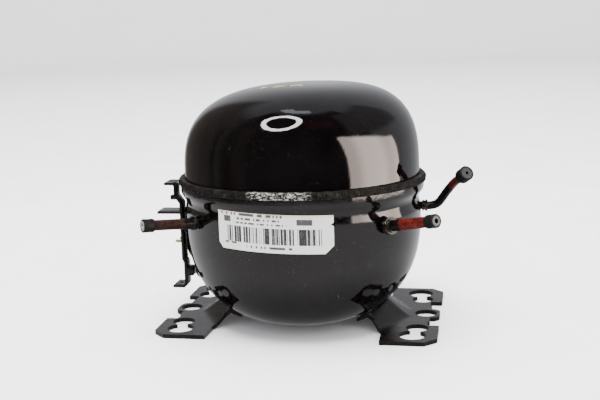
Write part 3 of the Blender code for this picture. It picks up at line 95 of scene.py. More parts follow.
class ShellSettings(bpy.types.PropertyGroup):
    """Sizes of the two pressed shells and the weld between them"""

    centre_x: size("Centre X", "Middle of the shell's outline", (LID_LOW.x + LID_HIGH.x) / 2)
    half_length: size("Half length", "Half of the outline along X", (LID_HIGH.x - LID_LOW.x) / 2)
    half_width: size("Half width", "Half of the outline along Y", LID_HIGH.y)
    seam_z: size("Seam height", "Top of the weld against the lid", BEAD_HIGH.z)
    crown_z: size("Crown height", "Top of the lid", LID_HIGH.z)
    lid_crown_x: size("Lid crown X", "Where the lid is highest", 0.0126 + PATTERN_X)
    lid_shoulders: triple("Lid shoulders", "Roundness to the right, to the left and to the sides", (3.1, 2.9, 3.4))
    wall: size("Wall", "Thickness of the pressed steel", 0.0028)
    rim: size("Rim outset", "Lower shell's rim beyond the lid", BOWL_HIGH.y - LID_HIGH.y)
    rim_z: size("Rim height", "Top of the lower shell", BOWL_HIGH.z)
    rim_step_z: size("Rim step height", "Where the rim narrows", 0.0982)
    neck_z: size("Neck height", "Narrowest part under the rim", 0.0910)
    neck_inset: size("Neck inset", "Neck inside the lid's outline at the ends", 0.0007)
    neck_side: size("Neck outset", "Neck outside the lid's outline at the front and back", 0.0007)
    bulge_z: size("Bulge height", "Widest part of the bowl", 0.0820)
    bulge: size("Bulge outset", "Bowl's widest part beyond the lid", 0.0009)
    bottom_z: size("Bottom height", "Lowest point of the bowl", BOWL_LOW.z)
    bowl_crown_x: size("Bowl bottom X", "Where the bowl is lowest", 0.0045 + PATTERN_X)
    bowl_shoulders: triple(
        "Bowl shoulders", "Roundness to the right, to the left and to the sides", (2.65, 2.72, 3.6)
    )
    around: count("Points around", "Points round each ring", 160)
    rings: count("Rings", "Rings from the seam to the crown", 60)
    bead_around: count("Bead points", "Points round the weld bead", 1100)
    bead_ripple: size("Bead ripple", "Height of the weld's ripples", 0.00042)
    bead_lumps: size("Bead lumps", "Height of the weld's lumps", 0.0010)


class FootSettings(bpy.types.PropertyGroup):
    """Sizes of the two sheet-metal feet"""

    plate: size("Plate", "Thickness of the sheet", 0.0030)
    out_x: size("Outer end", "Outer end of the corner tabs from the middle of the pattern", 0.0998)
    in_x: size("Inner side", "Inner side of the corner tabs", 0.0610)
    half_y: size("Half width", "Half of the foot's width", FOOT_HIGH.y)
    saddle_x: size("Saddle end", "Inner end of the saddle", 0.0420)
    saddle_half_y: size("Saddle half width", "Half of the saddle's width at the tabs", 0.0440)
    crease_x: size("Crease end", "Outer end of the creases", 0.0790)
    crease_half_y: size("Crease half width", "Half distance of the creases at their outer end", 0.0080)
    slope: number("Slope", "Rise of the saddle for each length of run", 0.85)
    bend: size("Bend", "How softly the sheet turns up", 0.0040)
    tab_inner_y: size("Tab inner side", "Inner side of the corner tabs along Y", 0.0285)
    notch_x: size("Notch", "Bottom of the notches", 0.0915)
    middle_half_y: size("Middle tab", "Half width of the middle tab", 0.0106)
    chamfer: size("Chamfer", "Cut corner of the tabs", 0.0085)
    large_hole: triple("Large holes", "Place along X, along Y, and radius", (0.08255, 0.0508, 0.0095))
    small_hole: triple("Small holes", "Place along X, along Y, and radius", (0.0850, 0.0350, 0.0080))
    middle_hole: triple("Middle hole", "Place along X, along Y, and radius", (0.0892, 0.0, 0.0080))
    edge: size("Edge", "Rounding of the sheet's edges", 0.0008)


class ConnectorSettings(bpy.types.PropertyGroup):
    """Sizes of the three connector tubes and their caps"""

    tube_r: size("Tube radius", "Outer radius of the suction and process tubes", 0.00365)
    discharge_r: size("Discharge radius", "Outer radius of the discharge tube", 0.0030)
    tube_wall: size("Tube wall", "Thickness of the copper", 0.00055)
    suction_length: size("Suction length", "From inside the shell to the tip", 0.0440)
    process_length: size("Process length", "From inside the shell to the tip", 0.0515)
    painted: triple(
        "Bare lengths", "Copper left bare from the tip: suction, process, discharge", (0.0275, 0.0300, 0.0215)
    )
    brown: triple("Browning", "How brown the lacquer is: suction, process, discharge", (0.92, 0.0, 0.35))
    collar_r: triple("Collar radii", "Suction, process and discharge collars", (0.0049, 0.0061, 0.0043))
    collar_length: triple("Collar lengths", "Suction, process and discharge collars", (0.00322, 0.0046, 0.00368))
    cap_r: triple("Cap radii", "Suction, process and discharge caps", (0.0047, 0.0046, 0.0052))
    cap_length: size("Cap length", "Length of each cap", 0.0080)
    cap_grip: size("Cap grip", "Length of tube inside a cap", 0.0055)


class LabelSettings(bpy.types.PropertyGroup):
    """Sizes of the label and its printed bars"""

    tilt: number("Tilt", "How far the label drops for each length of run", 0.030)
    corner_low_left: size("Left corner", "Cut of the lower left corner", 0.0040)
    corner_low_right: size("Right corner", "Cut of the lower right corner", 0.0055)
    notch: size("Notch", "Depth of the small tear at the right edge", 0.0022)
    bars_low: size("Bars' foot", "Lower edge of the bars above the label's edge", 0.0056)
    bars_high: size("Bars' top", "Upper edge of the bars above the label's edge", 0.0166)
    bar_pitch: size("Bar pitch", "Width of the thinnest bar", 0.00032)


class FinishSettings(bpy.types.PropertyGroup):
    """Colours of the finishes"""

    paint: colour("Paint", "Glossy black paint", (0.0016, 0.0013, 0.0014))
    satin: colour("Satin paint", "Black paint of the feet and the bracket", (0.0040, 0.0028, 0.0020))
    weld: colour("Weld", "Scale on the weld bead", (0.0105, 0.0088, 0.0078))
    copper: colour("Copper", "Lacquered copper", (0.085, 0.0085, 0.0065))
    rubber: colour("Rubber", "Cap rubber", (0.0040, 0.0038, 0.0039))
    paper: colour("Paper", "Label film", (0.56, 0.55, 0.53))
    ink: colour("Ink", "Label print", (0.012, 0.012, 0.014))
    floor: colour("Floor", "Studio floor", (0.80, 0.80, 0.81))


class StageSettings(bpy.types.PropertyGroup):
    """Camera and light"""

    camera: triple("Camera place", "Where the camera stands", (0.11844, -0.68951, 0.21945))
    yaw: number("Yaw", "Camera's turn from +Y, in radians", -0.1863)
    pitch: number("Pitch", "Camera's tilt down, in radians", 0.1865)
    roll: number("Roll", "Camera's roll, in radians", -0.0293)
    lens: number("Lens", "Focal length in millimetres", 58.22)
    sky: number("Surroundings", "Brightness of the pale surroundings", 1.9)
    room: number("Mirrored room", "Brightness of the mirrored room", 1.0)
    ring: number("Ring", "Brightness of the ring light", 48.0)
    roof: number("Roof", "Brightness of the roof light", 7.0)
    top_light: number("Top light", "Power of the light above, in watts", 105.0)
    back_light: number("Back light", "Power of the light on the far floor, in watts", 150.0)
    fill_light: number("Fill light", "Power of the light at the right, in watts", 12.0)
    near_floor: size("Near floor", "Radius of the floor that the paint mirrors", 0.60)
    mirrored: number("Mirrored floor", "Brightness of the floor that the paint mirrors", 1.45)
    under: number("Mirrored shadow", "Share of that brightness left under the compressor", 0.22)


# ---------------------------------------------------------------- mesh helpers
def smooth_step(value):
    value = min(max(value, 0.0), 1.0)
    return value * value * (3 - 2 * value)


def blend(a, b, share):
    return a + (b - a) * share


def show(name, mesh, finish, body="housing", node=None, angle=35):
    """Puts a mesh in the scene, smooth between its sharp edges, on a body and instead of a CAD node."""
    made = bpy.data.objects.new(name, mesh)
    bpy.context.scene.collection.objects.link(made)
    mesh.materials.clear()
    mesh.materials.append(finish)
    mesh.shade_smooth()
    mesh.set_sharp_from_angle(angle=math.radians(angle))
    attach(made, body)
    if node:
        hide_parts(node)
    return made


def mesh_of(name, build):
    bm = bmesh.new()
    build(bm)
    made = bpy.data.meshes.new(name)
    bm.to_mesh(made)
    bm.free()
    return made


def loft(name, rings, closed=False, low_cap=False, high_cap=False):
    """A surface through rings of points, each closed on itself."""

    def build(bm):
        rows = [[bm.verts.new(point) for point in ring] for ring in rings]
        pairs = list(zip(rows, rows[1:]))
        if closed:
            pairs.append((rows[-1], rows[0]))
        for low, high in pairs:
            around = len(low)
            for i in range(around):
                j = (i + 1) % around
                bm.faces.new((low[i], low[j], high[j], high[i]))
        if low_cap:
            bm.faces.new(rows[0])
        if high_cap:
            bm.faces.new(rows[-1])
        bmesh.ops.recalc_face_normals(bm, faces=bm.faces)

    return mesh_of(name, build)


def grid_sheet(name, rows):
    """An open sheet through rows of points."""

    def build(bm):
        grid = [[bm.verts.new(point) for point in row] for row in rows]
        for low, high in zip(grid, grid[1:]):
            for i in range(len(low) - 1):
                bm.faces.new((low[i], low[i + 1], high[i + 1], high[i]))
        bmesh.ops.recalc_face_normals(bm, faces=bm.faces)

    return mesh_of(name, build)


def across(direction):
    """Two unit directions square to a direction and to each other."""
    direction = Vector(direction).normalized()
    side = direction.orthogonal().normalized()
    return side, direction.cross(side)


def turned(name, profile, start, direction, steps=48):
    """A turned solid: (radius, distance) pairs of a loop in a plane through the axis."""
    direction = Vector(direction).normalized()
    side, other = across(direction)
    on_axis = profile[0][0] == 0.0
    rings = []
    for radius, along in profile:
        reach = max(radius, 0.00001)
        ring = []
        for i in range(steps):
            angle = 2 * math.pi * i / steps
            out = side * math.cos(angle) + other * math.sin(angle)
            ring.append(Vector(start) + direction * along + out * reach)
        rings.append(ring)
    return loft(name, rings, closed=not on_axis, low_cap=on_axis, high_cap=on_axis)


def swept(name, points, radius, sides=20):
    """A round rod through a list of points, with flat ends."""
    points = [Vector(p) for p in points]
    run = (points[1] - points[0]).normalized()
    side, _ = across(run)
    rings = []
    for i, point in enumerate(points):
        before = points[max(i - 1, 0)]
        after = points[min(i + 1, len(points) - 1)]
        run = (after - before).normalized()
        side = (side - run * side.dot(run)).normalized()
        other = run.cross(side)
        reach = radius(i / (len(points) - 1)) if callable(radius) else radius
        ring = []
        for k in range(sides):
            angle = 2 * math.pi * k / sides
            ring.append(point + (side * math.cos(angle) + other * math.sin(angle)) * reach)
        rings.append(ring)
    return loft(name, rings, low_cap=True, high_cap=True)


def smooth_route(points, steps):
    """Points along a Catmull-Rom curve through a few chosen ones."""
    knots = [Vector(p) for p in points]
    ends = [2 * knots[0] - knots[1]] + knots + [2 * knots[-1] - knots[-2]]
    made = []
    for i in range(1, len(ends) - 2):
        a, b, c, d = ends[i - 1 : i + 3]
        for k in range(steps):
            t = k / steps
            bend = (2 * a - 5 * b + 4 * c - d) * t * t
            twist = (3 * b - a - 3 * c + d) * t**3
            made.append(0.5 * (2 * b + (c - a) * t + bend + twist))
    made.append(knots[-1])
    return made


def cutter(name, mesh):
    tool = bpy.data.objects.new(name, mesh)
    bpy.context.scene.collection.objects.link(tool)
    return tool


def apply_modifiers(piece):
    """Turns a piece's modifiers into plain mesh."""
    depsgraph = bpy.context.evaluated_depsgraph_get()
    made = bpy.data.meshes.new_from_object(piece.evaluated_get(depsgraph))
    old = piece.data
    piece.modifiers.clear()
    piece.data = made
    bpy.data.meshes.remove(old)
    made.shade_smooth()
    made.set_sharp_from_angle(angle=math.radians(35))


def carve(piece, mesh, operation="DIFFERENCE"):
    tool = cutter("cutter", mesh)
    step = piece.modifiers.new("cut", "BOOLEAN")
    step.operation = operation
    step.solver = "EXACT"
    step.object = tool
    apply_modifiers(piece)
    bpy.data.objects.remove(tool)


def soften(piece, width, segments=2, angle=38):
    step = piece.modifiers.new("rounded edges", "BEVEL")
    step.width = width
    step.segments = segments
    step.limit_method = "ANGLE"
    step.angle_limit = math.radians(angle)
    apply_modifiers(piece)


def softened_node(node, name, finish, width, body="housing"):
    """A copy of a CAD node with its flat triangles joined and its edges rounded."""
    made = frame["nodes"][node].data.copy()
    bm = bmesh.new()
    bm.from_mesh(made)
    bmesh.ops.remove_doubles(bm, verts=bm.verts, dist=0.00001)
    bmesh.ops.dissolve_limit(bm, angle_limit=math.radians(1.0), verts=bm.verts, edges=bm.edges)
    bm.to_mesh(made)
    bm.free()
    piece = show(name, made, finish, body, node)
    soften(piece, width)
    return piece


# ---------------------------------------------------------------- finish helpers
class Finish:
    """A material with short ways to add nodes to its tree."""

    def __init__(self, name, base, roughness, metallic=0.0):
        self.material = bpy.data.materials.new(name)
        self.material.use_nodes = True
        self.tree = self.material.node_tree
        self.shader = self.tree.nodes["Principled BSDF"]
        self.shader.inputs["Base Color"].default_value = (*base, 1.0)
        self.shader.inputs["Roughness"].default_value = roughness
        self.shader.inputs["Metallic"].default_value = metallic
        self.coords = self.add("TexCoord").outputs["Object"]

    def add(self, kind, **values):
        node = self.tree.nodes.new("ShaderNode" + kind)
        for key, value in values.items():
            setattr(node, key, value)
        return node

    def link(self, source, target):
        self.tree.links.new(source, target)

    def feed(self, socket, value):
        if isinstance(value, bpy.types.NodeSocket):
            self.link(value, socket)
        else:
            socket.default_value = value

    def noise(self, feature, detail=3.0, rough=0.55, stretch=None, distortion=0.0):
        """Noise whose features are about as large as the length given."""
        node = self.add("TexNoise")
        node.inputs["Scale"].default_value = 1.0 / feature
        node.inputs["Detail"].default_value = detail
        node.inputs["Roughness"].default_value = rough
        node.inputs["Distortion"].default_value = distortion
        source = self.coords
        if stretch:
            mapping = self.add("Mapping")
            mapping.inputs["Scale"].default_value = stretch
            self.link(source, mapping.inputs["Vector"])
            source = mapping.outputs["Vector"]
        self.link(source, node.inputs["Vector"])
        return node.outputs["Fac"]

    def ramp(self, source, *stops):
        """Turns a value into a colour or a grey, by (place, colour or grey) stops."""
        node = self.add("ValToRGB")
        elements = node.color_ramp.elements
        while len(elements) < len(stops):
            elements.new(0.5)
        for element, (place, value) in zip(elements, stops):
            element.position = place
            element.color = (*value, 1.0) if isinstance(value, (tuple, list)) else (value, value, value, 1.0)
        self.link(source, node.inputs["Fac"])
        return node.outputs["Color"]

    def math(self, operation, a, b=0.0, clamp=False):
        node = self.add("Math", operation=operation, use_clamp=clamp)
        self.feed(node.inputs[0], a)
        self.feed(node.inputs[1], b)
        return node.outputs["Value"]

    def mix(self, share, a, b):
        node = self.add("Mix", data_type="RGBA")
        self.feed(node.inputs["Factor"], share)
        self.feed(node.inputs["A"], (*a, 1.0) if isinstance(a, (tuple, list)) else a)
        self.feed(node.inputs["B"], (*b, 1.0) if isinstance(b, (tuple, list)) else b)
        return node.outputs["Result"]

    def axis(self, name):
        node = self.add("SeparateXYZ")
        self.link(self.coords, node.inputs["Vector"])
        return node.outputs[name]

    def along(self, direction, start):
        """Distance along a direction from a point."""
        node = self.add("VectorMath", operation="DOT_PRODUCT")
        self.link(self.coords, node.inputs[0])
        node.inputs[1].default_value = Vector(direction).normalized()
        return self.math("SUBTRACT", node.outputs["Value"], Vector(start).dot(Vector(direction).normalized()))

    def between(self, value, low, high, soft):
        """1 between two values and 0 outside, with soft ends."""
        rise = self.math("DIVIDE", self.math("SUBTRACT", value, low), soft, clamp=True)
        fall = self.math("DIVIDE", self.math("SUBTRACT", high, value), soft, clamp=True)
        return self.math("MULTIPLY", rise, fall)

    def base(self, source):
        self.link(source, self.shader.inputs["Base Color"])

    def roughness(self, source):
        self.link(source, self.shader.inputs["Roughness"])

    def metallic(self, source):
        self.link(source, self.shader.inputs["Metallic"])

    def bump(self, height, distance, strength=1.0):
        node = self.add("Bump")
        node.inputs["Strength"].default_value = strength
        node.inputs["Distance"].default_value = distance
        self.link(height, node.inputs["Height"])
        if self.shader.inputs["Normal"].is_linked:
            self.link(self.shader.inputs["Normal"].links[0].from_socket, node.inputs["Normal"])
        self.link(node.outputs["Normal"], self.shader.inputs["Normal"])


def shade(rgb, factor):
    return tuple(min(channel * factor, 1.0) for channel in rgb)


def gloss_paint(name, dust_low, dust_high, roughness):
    """Baked black paint: a faint orange peel, soft smears and fine dust."""
    paint = tuple(bpy.context.scene.compressor_finish.paint)
    made = Finish(name, paint, roughness)
    tone = made.ramp(made.noise(0.030, 4), (0.35, shade(paint, 0.7)), (0.70, shade(paint, 1.6)))
    dust = made.ramp(made.noise(0.0011, 2, 0.7), (0.66, 0.0), (0.74, 1.0))
    smear = made.ramp(made.noise(0.022, 5, 0.62, distortion=1.2), (0.42, dust_low), (0.68, dust_high))
    share = made.math("MULTIPLY", dust, smear)
    made.base(made.mix(share, tone, (0.16, 0.145, 0.13)))
    film = made.math("MULTIPLY", smear, 0.06)
    made.roughness(made.math("ADD", made.math("ADD", film, roughness), made.math("MULTIPLY", share, 0.35)))
    made.bump(made.noise(0.010, 2, 0.5), 0.00035, 0.10)
    made.bump(made.noise(0.0022, 3, 0.5), 0.00008, 0.16)
    made.shader.inputs["IOR"].default_value = 1.42
    return made.material


def satin_paint(name, worn=0.35):
    """Thin black paint on sheet metal, scuffed on its edges."""
    satin = tuple(bpy.context.scene.compressor_finish.satin)
    made = Finish(name, satin, 0.30)
    tone = made.ramp(made.noise(0.012, 5, 0.6), (0.35, shade(satin, 0.55)), (0.68, shade(satin, 1.7)))
    patch = made.ramp(made.noise(0.0035, 4, 0.7), (0.50, 0.0), (0.66, worn))
    tilt = made.add("SeparateXYZ")
    made.link(made.add("NewGeometry").outputs["Normal"], tilt.inputs["Vector"])
    wear = made.math("MULTIPLY", made.between(made.math("ABSOLUTE", tilt.outputs["Z"]), 0.18, 0.62, 0.08), patch)
    scuff = made.ramp(made.noise(0.0016, 3, 0.7), (0.70, 0.0), (0.78, 0.4))
    share = made.math("MAXIMUM", wear, scuff)
    made.base(made.mix(share, tone, (0.15, 0.125, 0.10)))
    made.roughness(made.ramp(made.noise(0.006, 4, 0.65), (0.30, 0.14), (0.72, 0.34)))
    made.metallic(made.math("MULTIPLY", share, 0.6))
    made.shader.inputs["IOR"].default_value = 1.29
    made.bump(made.noise(0.0009, 3, 0.6), 0.00010, 0.35)
    made.bump(made.noise(0.007, 2), 0.0004, 0.12)
    return made.material


def weld_scale(name, painted_glint_x=None, painted_glint_y=0.0):
    """A weld's burnt scale: patchy brown and grey with pale metal flecks, packed as painted highlights on the
    front between two X values when they are given, scattered elsewhere.
    """
    weld = tuple(bpy.context.scene.compressor_finish.weld)
    made = Finish(name, weld, 0.6)
    tone = made.ramp(
        made.noise(0.0042, 6, 0.7),
        (0.32, shade(weld, 0.15)), (0.52, shade(weld, 0.55)), (0.66, shade(weld, 1.9)), (0.80, shade(weld, 0.5)),
    )
    sparkle = made.ramp(made.noise(0.0016, 5, 0.8, (0.45, 1.0, 1.3)), (0.52, 0.0), (0.58, 1.0))
    # Painted highlights: pale metallic flecks only on the front side of the bead between two X values, plus a few
    # stray flecks everywhere.
    if painted_glint_x:
        low, high = painted_glint_x
        near = made.between(made.axis("X"), low, high, 0.006)
        front = made.math("LESS_THAN", made.axis("Y"), painted_glint_y)
        share = made.math("MULTIPLY", made.math("MULTIPLY", near, front), sparkle)
        stray = made.ramp(made.noise(0.0013, 4, 0.8), (0.70, 0.0), (0.76, 0.6))
        share = made.math("MAXIMUM", share, stray)
    else:
        share = made.math("MULTIPLY", sparkle, 0.55)
    made.base(made.mix(share, tone, (0.72, 0.70, 0.66)))
    made.metallic(made.math("MULTIPLY", share, 0.85))
    made.roughness(made.ramp(made.noise(0.0020, 4, 0.7), (0.30, 0.30), (0.70, 0.72)))
    made.bump(made.noise(0.0011, 5, 0.75), 0.0009, 0.9)
    made.shader.inputs["IOR"].default_value = 1.2
    return made.material


def copper_lacquer(name, tip, direction, bare, brown):
    """Red lacquered copper, browner with age, black where the shell's paint runs up the tube."""
    copper = tuple(bpy.context.scene.compressor_finish.copper)
    copper = tuple(Vector(copper).lerp(Vector((0.014, 0.0085, 0.0060)), brown))
    paint = tuple(bpy.context.scene.compressor_finish.satin)
    made = Finish(name, copper, 0.30, 0.35)
    tone = made.ramp(
        made.noise(0.0060, 5, 0.65, (1.0, 1.0, 1.6)),
        (0.28, shade(copper, 0.30)),
        (0.46, shade(copper, 0.75)),
        (0.60, copper),
        (0.80, (copper[0] * 1.6, copper[1] * 3.2, copper[2] * 2.2)),
    )
    distance = made.math("MULTIPLY", made.along(direction, tip), -1.0)
    ragged = made.math("MULTIPLY", made.math("SUBTRACT", made.noise(0.0040, 4, 0.7), 0.5), 0.0040)
    painted = made.math("GREATER_THAN", made.math("ADD", distance, ragged), bare)
    made.base(made.mix(painted, tone, shade(paint, 0.5)))
    made.metallic(made.math("MULTIPLY", made.math("SUBTRACT", 1.0, painted), 0.35))
    made.shader.inputs["IOR"].default_value = 1.25
    made.roughness(made.ramp(made.noise(0.0030, 4), (0.35, 0.22), (0.70, 0.42)))
    made.bump(made.noise(0.0035, 3), 0.0002, 0.25)
    return made.material


def moulded_rubber(name):
    rubber = tuple(bpy.context.scene.compressor_finish.rubber)
    made = Finish(name, rubber, 0.6)
    tone = made.noise(0.0030, 5, 0.65)
    made.base(made.ramp(tone, (0.35, shade(rubber, 0.6)), (0.62, rubber), (0.80, shade(rubber, 3.0))))
    made.roughness(made.ramp(made.noise(0.0018, 4), (0.30, 0.50), (0.70, 0.80)))
    made.bump(made.noise(0.0007, 4, 0.7), 0.00010, 0.5)
    made.shader.inputs["IOR"].default_value = 1.25
    return made.material


def bright_metal(name, base, low, high, grain=0.0012, stretch=None, metallic=1.0):
    """Plain worked metal with a fine grain and dull patches."""
    made = Finish(name, base, (low + high) / 2, metallic)
    made.base(made.ramp(made.noise(0.006, 5, 0.6), (0.30, shade(base, 0.70)), (0.70, shade(base, 1.12))))
    made.roughness(made.ramp(made.noise(grain * 2, 4, 0.6, stretch), (0.30, low), (0.70, high)))
    made.bump(made.noise(grain, 4, 0.6, stretch), 0.00008, 0.35)
    return made.material


def cast_surface(name, base):
    made = Finish(name, base, 0.55, 0.7)
    made.base(made.ramp(made.noise(0.004, 6, 0.7), (0.30, shade(base, 0.6)), (0.72, shade(base, 1.5))))
    made.roughness(made.ramp(made.noise(0.010, 3), (0.35, 0.35), (0.70, 0.65)))
    made.bump(made.noise(0.0011, 5, 0.7), 0.00025, 0.6)
    return made.material


def stacked_sheets(name, base, sheet=0.0005):
    """Electrical steel: thin sheets stacked along Z."""
    made = Finish(name, base, 0.45, 0.9)
    layer = made.math("FRACT", made.math("DIVIDE", made.axis("Z"), sheet))
    groove = made.ramp(layer, (0.0, 0.25), (0.14, 1.0), (0.86, 1.0), (1.0, 0.25))
    dark = made.ramp(made.noise(0.004, 4), (0.3, shade(base, 0.6)), (0.7, shade(base, 1.1)))
    made.base(made.mix(groove, shade(base, 0.25), dark))
    made.bump(groove, 0.00012, 0.8)
    return made.material


def wound_wire(name, base, pitch=0.0011):
    """Varnished copper wire laid round a ring."""
    made = Finish(name, base, 0.32, 0.6)
    wave = made.add("TexWave", wave_type="RINGS", rings_direction="Z")
    wave.inputs["Scale"].default_value = 0.5 / pitch
    wave.inputs["Distortion"].default_value = 2.5
    wave.inputs["Detail"].default_value = 2.0
    made.link(made.coords, wave.inputs["Vector"])
    strand = wave.outputs["Fac"]
    tone = made.ramp(made.noise(0.006, 4), (0.3, shade(base, 0.7)), (0.7, shade(base, 1.3)))
    made.base(made.mix(strand, shade(base, 0.22), tone))
    made.bump(strand, 0.0004, 0.9)
    return made.material


def moulded_plastic(name, base):
    made = Finish(name, base, 0.5)
    made.base(made.ramp(made.noise(0.012, 4), (0.30, shade(base, 0.86)), (0.70, shade(base, 1.04))))
    made.roughness(made.ramp(made.noise(0.003, 3), (0.30, 0.42), (0.70, 0.60)))
    made.bump(made.noise(0.0008, 3), 0.00006, 0.4)
    return made.material


def fibre_gasket(name, base):
    made = Finish(name, base, 0.8)
    made.base(made.ramp(made.noise(0.0009, 5, 0.7), (0.30, shade(base, 0.6)), (0.70, shade(base, 1.4))))
    made.bump(made.noise(0.0006, 4), 0.0001, 0.6)
    return made.material


def printed_film(name, low, high):
    """Label film with bars, dashes that spell nothing, and a stained upper edge."""
    label = bpy.context.scene.compressor_label
    finish = bpy.context.scene.compressor_finish
    paper, ink = tuple(finish.paper), tuple(finish.ink)
    made = Finish(name, paper, 0.42)
    x = made.axis("X")
    drop = made.math("MULTIPLY", made.math("SUBTRACT", x, (low.x + high.x) / 2), label.tilt)
    z = made.math("ADD", made.axis("Z"), drop)
    width = high.x - low.x

    def random_bars(pitch, least, seed):
        cell = made.math("FLOOR", made.math("DIVIDE", made.math("ADD", x, seed), pitch))
        draw = made.add("TexWhiteNoise", noise_dimensions="1D")
        made.link(cell, draw.inputs["W"])
        return made.math("GREATER_THAN", draw.outputs["Value"], least)

    edge = label.bar_pitch / 4
    bars_zone = made.between(z, low.z + label.bars_low, low.z + label.bars_high, edge)
    side_zone = made.between(x, low.x + width * 0.085, high.x - width * 0.095, edge)
    thin = random_bars(label.bar_pitch, 0.52, 0.5)
    wide = random_bars(label.bar_pitch * 2.6, 0.72, 0.7)
    bars = made.math("MULTIPLY", made.math("MAXIMUM", thin, wide), made.math("MULTIPLY", bars_zone, side_zone))
    marks = bars
    rows = (
        (0.0236, 0.0256, 0.03, 0.58, 0.0012, 0.36), (0.0208, 0.0224, 0.17, 0.56, 0.0010, 0.38),
        (0.0182, 0.0195, 0.16, 0.62, 0.0010, 0.38), (0.0188, 0.0229, 0.045, 0.12, 0.0019, 0.22),
        (0.0192, 0.0232, 0.70, 0.83, 0.0016, 0.35), (0.0024, 0.0041, 0.26, 0.66, 0.0012, 0.32),
        (0.0042, 0.0056, 0.06, 0.17, 0.0010, 0.30),
    )
    for row_low, row_high, start, end, pitch, least in rows:
        zone = made.between(z, low.z + row_low, low.z + row_high, edge)
        span = made.between(x, low.x + width * start, low.x + width * end, edge)
        dash = made.math("MULTIPLY", random_bars(pitch, least, 0.9 + row_low), made.math("MULTIPLY", zone, span))
        marks = made.math("MAXIMUM", marks, made.math("MULTIPLY", dash, 0.95))
    fade = made.ramp(made.noise(0.0018, 4, 0.7), (0.28, 0.75), (0.46, 1.0))
    stain_edge = made.math("ADD", z, made.math("MULTIPLY", made.noise(0.008, 4), 0.004))
    stain_share = made.math("DIVIDE", made.math("SUBTRACT", stain_edge, high.z - 0.0004), 0.0030, clamp=True)
    stain = made.ramp(stain_share, (0.0, 0.0), (0.8, 0.75))
    tone = made.mix(stain, paper, (0.50, 0.40, 0.24))
    grime = made.ramp(made.noise(0.010, 5, 0.7), (0.50, 0.0), (0.80, 0.35))
    made.base(made.mix(made.math("MULTIPLY", marks, fade), made.mix(grime, tone, shade(paper, 0.72)), ink))
    made.bump(made.noise(0.012, 3), 0.00025, 0.25)
    return made.material


def studio_floor(name):
    floor = tuple(bpy.context.scene.compressor_finish.floor)
    made = Finish(name, floor, 0.45)
    made.base(made.ramp(made.noise(0.20, 4), (0.30, shade(floor, 0.985)), (0.70, shade(floor, 1.01))))
    made.roughness(made.ramp(made.noise(0.05, 3), (0.30, 0.40), (0.70, 0.55)))
    return made.material


def glow(name, rgb, strength):
    """A surface that shines in one colour, or in its mesh's own colours."""
    made = bpy.data.materials.new(name)
    made.use_nodes = True
    tree = made.node_tree
    tree.nodes.clear()
    output = tree.nodes.new("ShaderNodeOutputMaterial")
    light = tree.nodes.new("ShaderNodeEmission")
    if rgb:
        light.inputs["Color"].default_value = (*rgb, 1.0)
    else:
        tint = tree.nodes.new("ShaderNodeVertexColor")
        tint.layer_name = "tone"
        tree.links.new(tint.outputs["Color"], light.inputs["Color"])
    light.inputs["Strength"].default_value = strength
    tree.links.new(light.outputs["Emission"], output.inputs["Surface"])
    return made


# ---------------------------------------------------------------- shells
def outline_point(angle, outset):
    shell = bpy.context.scene.compressor_shell
    x = shell.centre_x + (shell.half_length + outset) * math.cos(angle)
    return x, (shell.half_width + outset) * math.sin(angle)


def shoulder_power(angle, powers):
    right, left, side = powers
    along = math.cos(angle) ** 2
    return (right if math.cos(angle) > 0 else left) * along + side * (1 - along)


def dome_ring(turn, outset, crown_x, base_z, height, powers):
    """One ring of a dome at a turn between 0 at its base and a right angle at its crown."""
    around = bpy.context.scene.compressor_shell.around
    ring = []
    for i in range(around):
        angle = 2 * math.pi * i / around
        x, y = outline_point(angle, outset)
        power = 2 / shoulder_power(angle, powers)
        reach = math.cos(turn) ** power
        ring.append((crown_x + (x - crown_x) * reach, y * reach, base_z + height * math.sin(turn) ** power))
    return ring


def dome_turns():
    """Turns that are close together at the base and at the crown."""
    rings = bpy.context.scene.compressor_shell.rings
    return [math.pi / 4 * (1 - math.cos(math.pi * i / rings)) for i in range(1, rings)]


def plan_ring(z, outset, around):
    return [(*outline_point(2 * math.pi * i / around, outset), z) for i in range(around)]


def wall_rings():
    """The lower shell's wall from its rim past the neck to the bulge, with soft steps."""
    shell = bpy.context.scene.compressor_shell
    knots = (
        (shell.rim_z, shell.rim),
        (shell.rim_step_z, shell.rim),
        (shell.neck_z, -shell.neck_inset),
        (shell.bulge_z, shell.bulge),
    )
    rings = []
    for (high, high_out), (low, low_out) in zip(knots, knots[1:]):
        for i in range(10):
            share = i / 10
            ring = []
            for k in range(shell.around):
                angle = 2 * math.pi * k / shell.around
                side = math.cos(angle) ** 8
                outs = [blend(shell.neck_side, out, side) if out < 0 else out for out in (high_out, low_out)]
                point = outline_point(angle, blend(*outs, smooth_step(share)))
                ring.append((*point, blend(high, low, share)))
            rings.append(ring)
    rings.append(plan_ring(shell.bulge_z, shell.bulge, shell.around))
    return rings


def bowl_height(x, y):
    """Height of the bowl's outer surface under a point of the plan, or None outside it."""
    shell = bpy.context.scene.compressor_shell
    half_length = shell.half_length + shell.bulge
    half_width = shell.half_width + shell.bulge
    dx = x - shell.bowl_crown_x
    lean = shell.bowl_crown_x - shell.centre_x
    a = (dx * half_width) ** 2 + (y * half_length) ** 2
    b = 2 * dx * lean * half_width**2
    c = (lean * half_width) ** 2 - (half_length * half_width) ** 2
    if a < 1e-18:
        return shell.bottom_z
    grow = (-b + math.sqrt(b * b - 4 * a * c)) / (2 * a)
    reach = 1 / grow
    if reach >= 1:
        return None
    angle = math.atan2(y * grow / half_width, (dx * grow + lean) / half_length)
    power = shoulder_power(angle, shell.bowl_shoulders)
    return shell.bulge_z - (shell.bulge_z - shell.bottom_z) * (1 - reach**power) ** (1 / power)


def thicken(piece, wall):
    step = piece.modifiers.new("wall", "SOLIDIFY")
    step.thickness = wall
    step.offset = -1.0
    step.use_even_offset = True
    apply_modifiers(piece)


